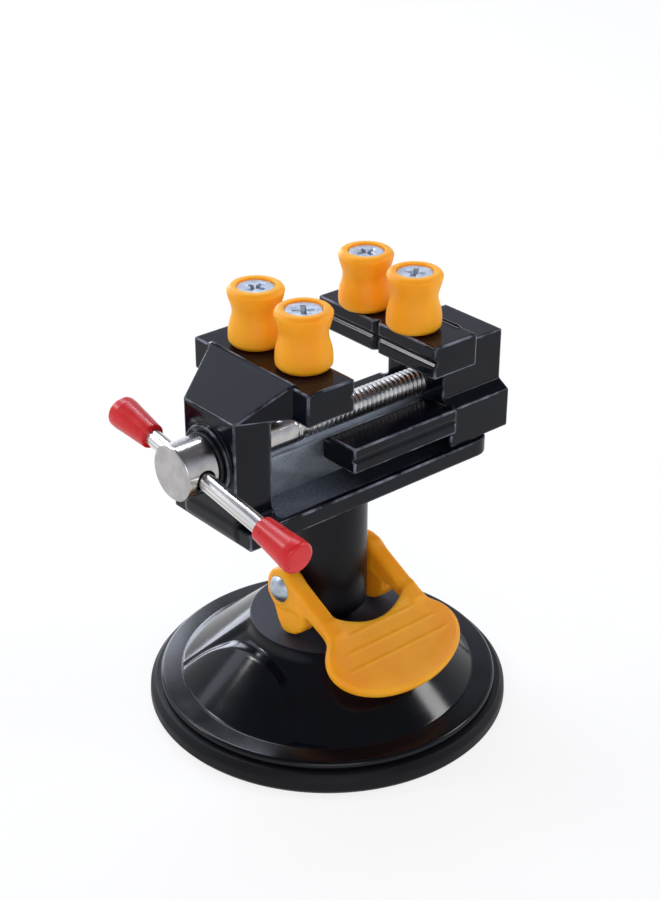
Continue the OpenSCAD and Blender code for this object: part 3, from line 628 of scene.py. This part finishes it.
rivet_end, rivet_head_r = span("pivot_rivet")[1].y, span("pivot_rivet")[1].x
head_h, shank_r = 1.7, 2.2
ball_r = (rivet_head_r ** 2 + head_h ** 2) / (2 * head_h)
dome_arc = [(ball_r * math.sin(a), rivet_end - ball_r + ball_r * math.cos(a))
            for a in np.linspace(0, math.asin(rivet_head_r / ball_r), 12)]
half_rivet = dome_arc + [(rivet_head_r - 0.2, rivet_end - head_h), (shank_r, rivet_end - head_h)]
across_column = Matrix.Translation((0, 0, pivot_z)) @ Matrix.Rotation(math.radians(-90), 4, "X")
add_turned("lever_rivet", half_rivet + [(r, -h) for r, h in reversed(half_rivet)], screw_zinc, "column", "zinc",
           "pivot_rivet", across_column, 64)


# %% [markdown]
# ## Locking lever
# The lever is one moulding: two rounded arms with a cam foot each, which run without an edge into a broad oval
# thumb pad. It is a distance field of a few outlines. The pad's own axes are tilted by its slope, and its upper
# face carries three faint ridges in a very shallow dish.

# %% Lever
slope, pad_h, pad_t = math.radians(35), pivot_z + 9, 3.4
pad_middle, pad_long, pad_wide, pad_round = 30.8, 11.3, 19.5, 1.5
arm_in, arm_out, arm_end, eye_r, pivot_bore = column_r + 0.8, column_r + 5.2, 19.5, 5.2, 2.3
foot_z, ridge_step, ridge_half = platform_z + 0.3, 4, 0.42
field = Field((-6, -20, 17), (38, 20, 41), 0.22)
x, z, side = field.x, field.z, np.abs(field.y)
arm_tip = pad_h - arm_end * math.tan(slope)
arm_view = [(0, pivot_z - 3.6), (9.6, pivot_z - 4.2), (arm_end, arm_tip - pad_t), (arm_end, arm_tip + 0.4),
            (1.6, pivot_z + 4.8)]
foot_view = [(-5, pivot_z - 1.3), (-2.6, foot_z + 6.1), (-1.3, foot_z + 2.7), (0.1, foot_z + 0.6), (1.2, foot_z),
             (2.6, foot_z), (5.1, foot_z + 0.9), (7.2, foot_z + 2.5), (8.5, foot_z + 4.6), (8.8, foot_z + 7.2),
             (2, pivot_z)]
eye = drum(x, z, (0, pivot_z), eye_r, side, arm_in, arm_out, 1.2)
arm = prism(arm_view, x, z, side, arm_in, arm_out, 1.2)
foot = prism(foot_view, x, z, side, arm_in, arm_out, 0.9)
arms = join(join(arm, eye, 1.0), foot, 1.2)

along = x * math.cos(slope) - (z - pad_h) * math.sin(slope)
rise = x * math.sin(slope) + (z - pad_h) * math.cos(slope)
from_middle = np.hypot((along - pad_middle) / pad_long, side / pad_wide)
steep = np.hypot((along - pad_middle) / pad_long ** 2, side / pad_wide ** 2) + 1e-6
oval = from_middle * (from_middle - 1) / steep
root = np.maximum(side - arm_out + 0.3, np.maximum(arm_end - 1 - along, along - pad_middle))
plan = join(oval, root, 2.5)
pad = extrude(plan + pad_round, rise, -pad_t, 0, pad_round)
pad = cut(pad, np.hypot(x, field.y) - (column_r + 9.0), 1.2)
ridges = sum(np.exp(-((along - (pad_middle + 1.6 - ridge_step * k)) / ridge_half) ** 2) for k in range(3))
inner, near_top = np.clip((-plan - 3.4) / 2.5, 0, 1), np.clip(1 + rise / pad_round, 0, 1)
lever_shape = join(arms, pad, 1.1) - (0.16 * ridges - 0.1) * inner * near_top
lever_shape = cut(lever_shape, np.hypot(x, z - pivot_z) - pivot_bore, 0.5)
add_piece(skin(field, lever_shape, "thumb_lever", lever_plastic), "lever", "lever", "lever")


# %% [markdown]
# ## Castings
# Bed, rail, pillar and front jaw are one casting, and the rear jaw with its block, slide and tongues is another.
# Both are built from the same few outlines as the CAD solids, joined with fillets. The gripping faces have a V
# groove along them, whose lower flank catches the light, and an upright V notch in the middle. The rail is bare,
# roughly cast metal, so it is a piece of its own with a slightly uneven skin.

# %% Jaw and gusset
bolt_x, bolt_set, bolt_bore, gusset_half = 8.3, 4.4, 2.05, 14.45
jaw_h, jaw_depth = jaw_top - jaw_floor, 13.1
groove_deep, notch_deep, notch_half, casting_edge = 0.9, 1.6, 1.8, 0.5


def jaw_shape(field, depth):
    """A jaw's bar, its groove and its notch. Depth is measured from its gripping face."""
    mid = jaw_floor + jaw_h / 2
    view = box_outline(0, jaw_depth, jaw_floor, jaw_top)
    bar = prism(view, depth, field.z, field.x, -jaw_half, jaw_half, casting_edge)
    groove = outline([(-1, mid - 1 - groove_deep), (groove_deep, mid), (-1, mid + 1 + groove_deep)], depth, field.z)
    notch = outline([(-notch_half, -1), (notch_half, -1), (0, notch_deep)], field.x, depth)
    holes = np.hypot(np.abs(field.x) - bolt_x, depth - bolt_set) - bolt_bore
    return cut(cut(cut(bar, groove, 0.15), notch, 0.35), holes, 0.2)


def above_web(field, depth, length):
    """Distance above the sloping top of the web behind a jaw."""
    fall = (jaw_h - 0.2) / length
    return (field.z - jaw_top + (depth - jaw_depth) * fall) / math.hypot(1, fall)


def web_shape(field, depth, length, narrow):
    """The sloping web behind a jaw, which narrows to the pillar or the block."""
    taper = gusset_half - (gusset_half - narrow) * (depth - jaw_depth) / length
    web = -join(-above_web(field, depth, length), -(np.abs(field.x) - taper) * 0.9, 0.5)
    ends = np.maximum(jaw_depth - 1 - depth, depth - jaw_depth - length)
    return np.maximum(web, np.maximum(jaw_floor - field.z, ends))


print(f"jaws {2 * jaw_half:.0f} mm long and {jaw_h:.1f} mm high")


# %% Bed with the front jaw
corner_r, boss_r, journal_bore, front_web = 4.5, 8.2, 3.66, 11.6
corner = [(bed_half - corner_r + corner_r * math.cos(a), bed_rear - corner_r + corner_r * math.sin(a))
          for a in np.linspace(0, math.pi / 2, 7)]
field = Field((-jaw_half, pillar_front - 1, bed_low.z), (jaw_half, bed_rear, jaw_top), 0.25)
x, y, z = field.x, field.y, field.z
depth = front_face - y
bed = prism(mirrored([(bed_half, pillar_front), *corner]), x, y, z, bed_low.z, bed_top, 0.45)
trough_view = box_outline(-trough_half, trough_half, pillar_rear, bed_rear - 2)
bed = cut(bed, prism(trough_view, x, y, z, bed_top - 1, bed_top + 9, casting_edge), 0.5)
pillar_view = box_outline(-pillar_half, pillar_half, pillar_front, pillar_rear)
pillar = prism(pillar_view, x, y, z, bed_top - 3, jaw_top, casting_edge)
pillar = -join(-pillar, -above_web(field, depth, front_web), 0.6)
boss = drum(x, z, (0, axis_z), boss_r, y, pillar_front - 1, pillar_front + 2, 0.4)
body_shape = np.minimum(join(bed, pillar, 1.4), web_shape(field, depth, front_web, pillar_half))
body_shape = join(body_shape, jaw_shape(field, depth), 0.6)
body_shape = join(body_shape, boss, 0.5)
body_shape = cut(body_shape, np.hypot(x, z - axis_z) - journal_bore, 0.3)
body_shape = np.maximum(body_shape, bed_low.z - z)
add_piece(skin(field, body_shape, "cast_bed", bed_enamel, flatness=0.002), "column", "casting", "vise_body")


# %% Bare rail
rail_half, rail_low, rail_top, rail_front, rail_rear = 2, bed_top - 2, bed_top + 9, -21.5, bed_rear - 2.4
field = Field((-rail_half, rail_front, rail_low), (rail_half, rail_rear, rail_top), 0.2)
rail_view = box_outline(-rail_half, rail_half, rail_low, rail_top)
rail = prism(rail_view, field.x, field.z, field.y, rail_front, rail_rear, 0.4)
rough_cast = 0.05 + 0.03 * np.sin(0.9 * field.y) * np.sin(0.7 * field.y + 1.0)
add_piece(skin(field, rail + rough_cast, "guide_rail", rail_metal, flatness=0.002), "column", "casting")


# %% Rear jaw with its block and tongues
slide_half, slide_low, slide_top, block_half = 13.07, span("moving_jaw")[0].z, 72.8, 9.8
tongue_front, tongue_half, tongue_low, tongue_top = span("moving_jaw")[0].y, slide_half + 0.5, 66.8, 73.2
slot_half, slot_top, channel_half, channel_floor = 2.3, 71.9, 4.6, 71.8
line_z, rear_web, screw_bore = 70, 10.6, 3.45
field = Field((-jaw_half, tongue_front, slide_low), (jaw_half, block_rear, jaw_top), 0.25)
x, y, z = field.x, field.y, field.z
depth = y - rear_face
block_view = [(slot_half, slot_top), (slot_half, slide_low), (slide_half, slide_low), (slide_half, slide_top),
              (block_half, slide_top + 1.9), (block_half, jaw_floor + 0.1)]
block = prism(mirrored(block_view), x, z, y, block_front, block_rear, 0.45)
tongue_view = [(slot_half, tongue_low), (tongue_half, tongue_low), (tongue_half, tongue_top),
               (channel_half, tongue_top), (channel_half, channel_floor), (slot_half, channel_floor)]
tongues = prism(tongue_view, np.abs(x), z, y, tongue_front, block_front + 1, 0.4)
tongues = cut(tongues, (np.abs(np.abs(x) - tongue_half) + np.abs(z - line_z) - 0.6) * 0.7, 0.3)
jaw_part = join(block, web_shape(field, depth, rear_web, block_half), 0.5)
jaw_part = join(jaw_part, jaw_shape(field, depth), 0.6)
jaw_part = join(jaw_part, tongues, 0.6)
jaw_part = cut(jaw_part, np.maximum(np.hypot(x, z - axis_z) - screw_bore, block_front - 2 - y), 0.3)
add_piece(skin(field, jaw_part, "rear_jaw_casting", enamel, flatness=0.002), "rear_jaw", "casting", "moving_jaw")


# %% [markdown]
# ## Spindle and lead screw
# The spindle's head is turned from bar and cross-drilled for the handle, and the mouths of that hole are rounded.
# Cutting a tilted hole in a round head is easy in a field. The thread is a rule: a trapezium swept along a helix
# round a core, which Geometry Nodes make from pitch, turns and radii.

# %% Spindle
head_front, head_rear, journal_end = spindle_low.y, -35.85, spindle_high.y
head_r, journal_r, bar_y, pin_y = spindle_high.x + 0.3, 3.6, -39.6, -13.0
bar_bore, pin_bore, ring_seat_r, relief_r = 2.4, 0.95, 3.0, 3.2
ring_y = span("retaining_ring")[0].y
field = Field((-head_r, head_front, axis_z - head_r), (head_r, journal_end, axis_z + head_r), 0.14)
x, y, z = field.x, field.y, field.z - axis_z
half_spindle = [(head_r - 0.35, head_front), (head_r, head_front + 0.35), (head_r, head_rear - 0.4),
                (head_r - 0.4, head_rear), (journal_r, head_rear), (journal_r, ring_y - 0.1),
                (ring_seat_r, ring_y - 0.1), (ring_seat_r, ring_y + 0.9), (journal_r, ring_y + 0.9),
                (journal_r, pin_y + 1.7), (relief_r, pin_y + 1.9), (relief_r, pin_y + 2.4),
                (journal_r - 0.1, pin_y + 2.6), (journal_r - 0.1, journal_end - 0.5), (journal_r - 0.6, journal_end)]
turned_shape = outline(mirrored(half_spindle), np.hypot(x, z), y)
across = x * math.sin(bar_tilt) + z * math.cos(bar_tilt)
turned_shape = cut(turned_shape, np.hypot(across, y - bar_y) - bar_bore, 0.4)
turned_shape = cut(turned_shape, np.maximum(np.hypot(x, y - pin_y) - pin_bore, np.abs(np.abs(z) - 4) - 1.2), 0.15)
add_piece(skin(field, turned_shape, "spindle_shaft", head_nickel, flatness=0.001), "spindle", "nickel", "spindle")

for node, name, body, bore in (("thrust_washer", "black_washer", "column", 3.9),
                               ("retaining_ring", "spring_ring", "spindle", 3.02)):
    low, high = span(node)
    flat = box_outline(bore, high.x, 0, high.y - low.y)
    add_turned(name, soften(flat, 0.15, closed=True), blackened_steel, body, "washer", node, along_screw(low.y),
               closed=True)
pin_low, pin_high = span("spindle_pin")
pin_profile = [(0, pin_low.z), (pin_high.x, pin_low.z), (pin_high.x, pin_high.z), (0, pin_high.z)]
add_turned("cross_pin", soften(pin_profile, 0.15), screw_steel, "spindle", "steel", "spindle_pin",
           Matrix.Translation((0, (pin_low.y + pin_high.y) / 2, 0)), 32)


# %% Geometry Nodes helper
def node_tree(name, inputs):
    """An empty Geometry Nodes tree with named inputs. Returns the tree and its inputs' sockets."""
    tree = bpy.data.node_groups.new(name, "GeometryNodeTree")
    for label, kind in inputs.items():
        tree.interface.new_socket(label, in_out="INPUT", socket_type="NodeSocket" + kind)
    tree.interface.new_socket("Geometry", in_out="OUTPUT", socket_type="NodeSocketGeometry")
    return tree, tree.nodes.new("NodeGroupInput").outputs


def bake(tree, made, name, values, finish):
    """Runs a tree on an empty mesh with the values of its inputs, and returns the plain mesh that it makes."""
    real = grow(tree, "GeometryNodeRealizeInstances", {"Geometry": made})
    painted = grow(tree, "GeometryNodeSetMaterial", {"Geometry": real, "Material": finish})
    tree.links.new(painted, tree.nodes.new("NodeGroupOutput").inputs[0])
    host = put(name + "_host", bpy.data.meshes.new(name + "_host"))
    modifier = host.modifiers.new("nodes", "NODES")
    modifier.node_group = tree
    sockets = {s.name: s.identifier for s in tree.interface.items_tree if s.in_out == "INPUT"}
    for label, value in values.items():
        modifier[sockets[label]] = value
    host.update_tag()
    ready = host.evaluated_get(bpy.context.evaluated_depsgraph_get())
    mesh = bpy.data.meshes.new_from_object(ready)
    host.modifiers.clear()
    bpy.data.objects.remove(host)
    mesh.name = name
    return mesh


print("Geometry Nodes helper ready")


# %% Lead screw
pitch, thread_r, root_r, collar = 1.35, span("lead_screw")[1].x, 2.63, 0.5
foot_share, crest_share, core_overlap = 0.92, 0.22, 0.04
tail_r, collar_r, tip_r = 2.0, 2.5, root_r + 0.35
thread_start, thread_end = journal_end + collar, span("lead_screw")[1].y
tree, given = node_tree("thread", {"Pitch": "Float", "Turns": "Float", "Root radius": "Float", "Depth": "Float"})
length = reckon(tree, "MULTIPLY", given["Pitch"], given["Turns"])
middle_r = reckon(tree, "MULTIPLY_ADD", given["Depth"], 0.5, given["Root radius"])
helix = grow(tree, "GeometryNodeCurveSpiral", {"Resolution": 40, "Rotations": given["Turns"], "Start Radius": middle_r,
                                               "End Radius": middle_r, "Height": length, "Reverse": False})
level = grow(tree, "GeometryNodeSetCurveNormal", {"Curve": helix}, mode="Z_UP")
foot_w = reckon(tree, "MULTIPLY", given["Pitch"], foot_share)
crest_w = reckon(tree, "MULTIPLY", given["Pitch"], crest_share)
ridge = grow(tree, "GeometryNodeCurvePrimitiveQuadrilateral", {"Height": given["Depth"], "Offset": 0.0,
                                                               "Bottom Width": foot_w, "Top Width": crest_w},
             mode="TRAPEZOID")
outward = grow(tree, "GeometryNodeTransform", {"Geometry": ridge, "Rotation": (0, 0, math.radians(90))})
thread = grow(tree, "GeometryNodeCurveToMesh", {"Curve": level, "Profile Curve": outward, "Fill Caps": True})
core_r = reckon(tree, "ADD", given["Root radius"], core_overlap * MM)
core = grow(tree, "GeometryNodeMeshCylinder", {"Vertices": 64, "Radius": core_r, "Depth": length})
half_up = grow(tree, "ShaderNodeCombineXYZ", {"Z": reckon(tree, "MULTIPLY", length, 0.5)})
core_up = grow(tree, "GeometryNodeTransform", {"Geometry": core, "Translation": half_up})
both = grow(tree, "GeometryNodeJoinGeometry", {"Geometry": [thread, core_up]})
laid = grow(tree, "GeometryNodeTransform", {"Geometry": both, "Rotation": (math.radians(-90), 0, 0),
                                            "Translation": (0, thread_start * MM, axis_z * MM)})
turns = (thread_end - thread_start - 1.2) / pitch
thread_mesh = bake(tree, laid, "thread_ridge", {"Pitch": pitch * MM, "Turns": turns, "Root radius": root_r * MM,
                                                "Depth": (thread_r - root_r) * MM}, screw_steel)
bm = bmesh.new()
bm.from_mesh(thread_mesh)
tail = [(0, journal_end - 9), (tail_r, journal_end - 9), (tail_r, journal_end), (collar_r, journal_end),
        (collar_r, thread_start + 1), (0, thread_start + 1)]
tip = [(0, thread_end - 2.2), (tip_r, thread_end - 2.2), (tip_r, thread_end - 0.7), (root_r - 0.3, thread_end),
       (0, thread_end)]
lathe(bm, soften(tail, 0.1), along_screw())
lathe(bm, soften(tip, 0.12), along_screw())
bmesh.ops.recalc_face_normals(bm, faces=bm.faces)
add_piece(to_mesh(bm, "lead_screw_thread", screw_steel, sharp=28), "spindle", "steel", "lead_screw")


# %% [markdown]
# ## Handle
# The handle is a drawn bar that slides through the head, with a soft vinyl cap pushed on each end. The caps
# swell from the mouth towards their closed ends.

# %% Bar and caps
bar_low, bar_high = span("tommy_bar")
bar_middle, bar_r = (bar_low + bar_high) / 2, 2.0
bar_half = (bar_high.x - bar_low.x - 2 * bar_r * math.sin(bar_tilt)) / 2 / math.cos(bar_tilt)
on_bar = Matrix.Translation(bar_middle) @ bar_axis.to_track_quat("Z", "Y").to_matrix().to_4x4()
bar_profile = [(0, -bar_half), (bar_r, -bar_half), (bar_r, bar_half), (0, bar_half)]
add_turned("handle_bar_rod", soften(bar_profile, 0.4), bar_steel, "handle_bar", "steel", "tommy_bar", on_bar, 64)

cap_len, cap_r, mouth_r, cap_wall, cap_bore = 12.5, 3.8, 2.95, 1.5, bar_r + 0.02
cap_outside = [(cap_bore, 0), (mouth_r, 0), (mouth_r + 0.05, 0.8), (cap_r - 0.25, cap_len * 0.6),
               (cap_r, cap_len * 0.8), (cap_r, cap_len), (0, cap_len)]
cap_inside = [Vector((0, cap_len - cap_wall)), Vector((cap_bore, cap_len - cap_wall))]
cap_profile = soften(cap_outside, [0, 0.4, 0.4, 3, 2, 1.0, 0], 8) + cap_inside
for name, node, way in (("red_cap_left", "bar_cap_left", -1), ("red_cap_right", "bar_cap_right", 1)):
    turn = Matrix.Rotation(math.radians(90 - 90 * way), 4, "X")
    on_end = on_bar @ turn @ Matrix.Translation((0, 0, bar_half + cap_wall - cap_len))
    add_turned(name, cap_profile, cap_vinyl, "handle_bar", "cap", node, on_end, 64, closed=True)


# %% [markdown]
# ## Rollers and their screws
# Each roller is a waisted bush that turns on a countersunk screw. The screw is modelled once, with a cross recess
# that tapers towards its bottom, and Geometry Nodes set two of them on a line for each jaw.

# %% Rollers
roller_low, roller_high = span("roller_front_left")
roller_h, roller_r, waist_r = roller_high.z - roller_low.z, (roller_high.x - roller_low.x) / 2, 5.45
screw_sink, head_seat_r, foot_r, roller_bore, seat_bore = 0.5, 4.35, 6.45, 2.06, 2.3


def roller_side(share):
    """Radius of a roller at a share of its height: full at both rims, drawn in between them."""
    rim = foot_r + (roller_r - foot_r) * share
    return rim - (rim - waist_r) * math.exp(-((share - 0.57) / 0.22) ** 2)


waist_line = [(roller_side(t), t * roller_h) for t in np.linspace(0.13, 0.87, 25)]
lower_rim = [(roller_bore, 0), (foot_r - 0.7, 0), (foot_r - 0.05, 0.9)]
upper_rim = [(roller_r, roller_h - 1.0), (roller_r - 0.8, roller_h), (head_seat_r, roller_h),
             (head_seat_r, roller_h - screw_sink), (seat_bore, roller_h - 2.8), (roller_bore, roller_h - 2.8)]
rounding = [0.2, 0.6, 0.6] + [0.0] * len(waist_line) + [0.9, 1.2, 0.35, 0.1, 0.1, 0.1]
roller_profile = soften(lower_rim + waist_line + upper_rim, rounding, 8, closed=True)
for node in ("roller_front_left", "roller_front_right", "roller_rear_left", "roller_rear_right"):
    low, high = span(node)
    stand = Matrix.Translation(((low.x + high.x) / 2, (low.y + high.y) / 2, low.z))
    add_turned(node.replace("roller", "bush"), roller_profile, roller_plastic, node, "roller", node, stand, closed=True,
               sharp=40)


# %% Roller screw
screw_low, screw_high = span("front_roller_screws")
screw_top, screw_len = screw_high.z, screw_high.z - screw_low.z
screw_head_r, screw_head_h, screw_r, recess_deep = 4.2, 2.3, 2.0, 1.6
field = Field((-screw_head_r, -screw_head_r, -2.4), (screw_head_r, screw_head_r, 0), 0.07)
x, y, deep = np.abs(field.x), np.abs(field.y), -field.z
half_screw = [(screw_r, -3.2), (screw_r, -screw_head_h), (screw_head_r - 0.05, -0.4), (screw_head_r, -0.2),
              (screw_head_r - 0.15, 0)]
screw_shape = outline(mirrored(half_screw), np.hypot(x, y), field.z)
arm_long, arm_wide, middle_wide = 2.5 - 0.7 * deep, 0.62 - 0.2 * deep, 1.2 - 0.45 * deep
cross = np.minimum(np.maximum(x - arm_long, y - arm_wide), np.maximum(y - arm_long, x - arm_wide))
cross = np.minimum(cross, np.hypot(x, y) - middle_wide)
screw_shape = cut(screw_shape, np.maximum(cross, deep - recess_deep), 0.12)
bm = bmesh.new()
bm.from_mesh(skin(field, screw_shape, "screw_head", screw_zinc, flatness=0.001))
shank = [(0, -screw_len), (screw_r, -screw_len), (screw_r, -2.2), (0, -2.2)]
lathe(bm, soften(shank, 0.3), around=48)
pattern = put("screw_pattern", to_mesh(bm, "screw_pattern", screw_zinc))

for node, name, body, turn in (("front_roller_screws", "front_screws", "column", 15),
                               ("rear_roller_screws", "rear_screws", "rear_jaw", -5)):
    low, high = span(node)
    tree, given = node_tree(name + "_row", {"Screw": "Object", "Count": "Int", "Start": "Vector", "Step": "Vector",
                                            "Turn": "Float", "Turn step": "Float"})
    row = grow(tree, "GeometryNodeMeshLine", {"Count": given["Count"], "Start Location": given["Start"],
                                              "Offset": given["Step"]}, mode="OFFSET")
    one = grow(tree, "GeometryNodeObjectInfo", {"Object": given["Screw"]}, "Geometry")
    index = grow(tree, "GeometryNodeInputIndex")
    spun = grow(tree, "ShaderNodeCombineXYZ", {"Z": reckon(tree, "MULTIPLY_ADD", index, given["Turn step"],
                                                           given["Turn"])})
    placed = grow(tree, "GeometryNodeInstanceOnPoints", {"Points": row, "Instance": one, "Rotation": spun})
    start = (-bolt_x * MM, (low.y + high.y) / 2 * MM, screw_top * MM)
    mesh = bake(tree, placed, name, {"Screw": pattern, "Count": 2, "Start": start, "Step": (2 * bolt_x * MM, 0.0, 0.0),
                                     "Turn": math.radians(turn), "Turn step": math.radians(40)}, screw_zinc)
    add_piece(mesh, body, "zinc", node)
bpy.data.objects.remove(pattern)


# %% [markdown]
# ## Floor, light and camera
# The photograph has a white ground. The floor is pale, and for camera and glossy rays part of its light is its
# own, so it looks white without more lamps on the vise, and still takes its shadow. The sky is a soft sweep, white
# at the horizon and a slightly blue grey above. A few soft boxes give the highlights, and the camera stands where
# the photographer's did.

# %% Floor and sky
floor_half = 6.0
floor_mesh = bpy.data.meshes.new("floor")
floor_corners = box_outline(-floor_half, floor_half, -floor_half, floor_half)
floor_mesh.from_pydata([(*corner, 0) for corner in floor_corners], [], [(0, 1, 2, 3)])
floor = put("floor", floor_mesh)
ground = bpy.data.materials.new("pale_floor")
ground.use_nodes = True
tree = ground.node_tree
tree.nodes.clear()
rays = tree.nodes.new("ShaderNodeLightPath").outputs
seen = reckon(tree, "MAXIMUM", rays["Is Camera Ray"], rays["Is Glossy Ray"])
seen = reckon(tree, "MAXIMUM", seen, rays["Is Transmission Ray"])
away = grow(tree, "ShaderNodeVectorMath", {0: grow(tree, "ShaderNodeTexCoord", output="Object")}, "Value",
            operation="LENGTH")
own_light = grow(tree, "ShaderNodeMapRange", {"Value": away, "From Min": 0.4, "From Max": 1.4, "To Min": 0.82,
                                              "To Max": 0.985})
paper = grow(tree, "ShaderNodeBsdfDiffuse", {"Color": (0.9, 0.9, 0.9, 1)})
glow = grow(tree, "ShaderNodeEmission", {"Color": (1, 1, 1, 1)})
mixed = grow(tree, "ShaderNodeMixShader", {0: reckon(tree, "MULTIPLY", seen, own_light), 1: paper, 2: glow})
tree.links.new(mixed, tree.nodes.new("ShaderNodeOutputMaterial").inputs[0])
floor_mesh.materials.append(ground)

world = bpy.data.worlds.new("studio")
bpy.context.scene.world = world
world.use_nodes = True
tree = world.node_tree
height = grow(tree, "ShaderNodeSeparateXYZ", {0: grow(tree, "ShaderNodeTexCoord", output="Generated")}, "Z")
sweep = tree.nodes.new("ShaderNodeValToRGB")
tree.links.new(height, sweep.inputs[0])
sky_colours = ((0.0, (1.0, 1.0, 1.01)), (0.45, (0.59, 0.62, 0.725)), (0.68, (0.162, 0.17, 0.2)))
sweep.color_ramp.elements.new(sky_colours[1][0])
for stop, (place, colour) in zip(sweep.color_ramp.elements, sky_colours):
    stop.position, stop.color = place, (*colour, 1)
tree.links.new(sweep.outputs[0], tree.nodes["Background"].inputs["Color"])
print("floor and sky ready")


# %% Camera and lamps
azimuth, elevation, distance, target = math.radians(49.65), math.radians(29.28), 0.41713, Vector((0, 0, 0.055))
right = Vector((math.cos(azimuth), math.sin(azimuth), 0))
toward = Vector((math.sin(azimuth), -math.cos(azimuth), 0))
back = toward * math.cos(elevation) + Vector((0, 0, math.sin(elevation)))


def aim(obj, place):
    """Moves a camera or a lamp to a place, turned towards the vise."""
    obj.location = place
    obj.rotation_mode = "QUATERNION"
    obj.rotation_quaternion = (obj.location - target).to_track_quat("Z", "Y")


def soft_box(name, across, near, up, power, width, tall, colour):
    """A soft box at a place given from the camera's side."""
    lamp = bpy.data.lights.new(name, "AREA")
    lamp.shape, lamp.size, lamp.size_y, lamp.energy, lamp.color = "RECTANGLE", width, tall, power, colour
    obj = put(name, lamp)
    aim(obj, right * across + toward * near + Vector((0, 0, up)))
    obj.visible_camera = False


lens = bpy.data.cameras.new("camera")
lens.lens, lens.shift_x, lens.shift_y, lens.clip_start = 70.576, 0.00297, 0.0484, 0.01
camera = put("camera", lens)
aim(camera, target + back * distance)
bpy.context.scene.camera = camera

white, cool = (1, 1, 1), (0.92, 0.98, 1.14)
# name, place to the right, towards the camera and up in metres, power in watts, width and height in metres, colour
lamps = (("key_left", -0.652, -0.16, 0.561, 1.35, 0.09, 0.16, white),
         ("front", 0.05, 0.75, 0.4, 1.8, 0.5, 0.4, white),
         ("fill_right", 0.6, -0.1, 0.45, 1.2, 0.14, 0.2, white),
         ("low_left", -0.38, -0.7, 0.12, 1.5, 0.4, 0.2, cool),
         ("back_left", -0.34, -0.8, 0.42, 1.4, 0.3, 0.26, cool),
         ("high_left", -0.56, -0.3, 0.54, 0.95, 0.3, 0.5, cool),
         ("strip_back", -0.1, -0.52, 0.76, 3.0, 0.6, 0.09, cool))
for lamp in lamps:
    soft_box(*lamp)
bpy.context.scene.view_settings.view_transform = "Standard"
print(f"camera and {len(lamps)} soft boxes ready")
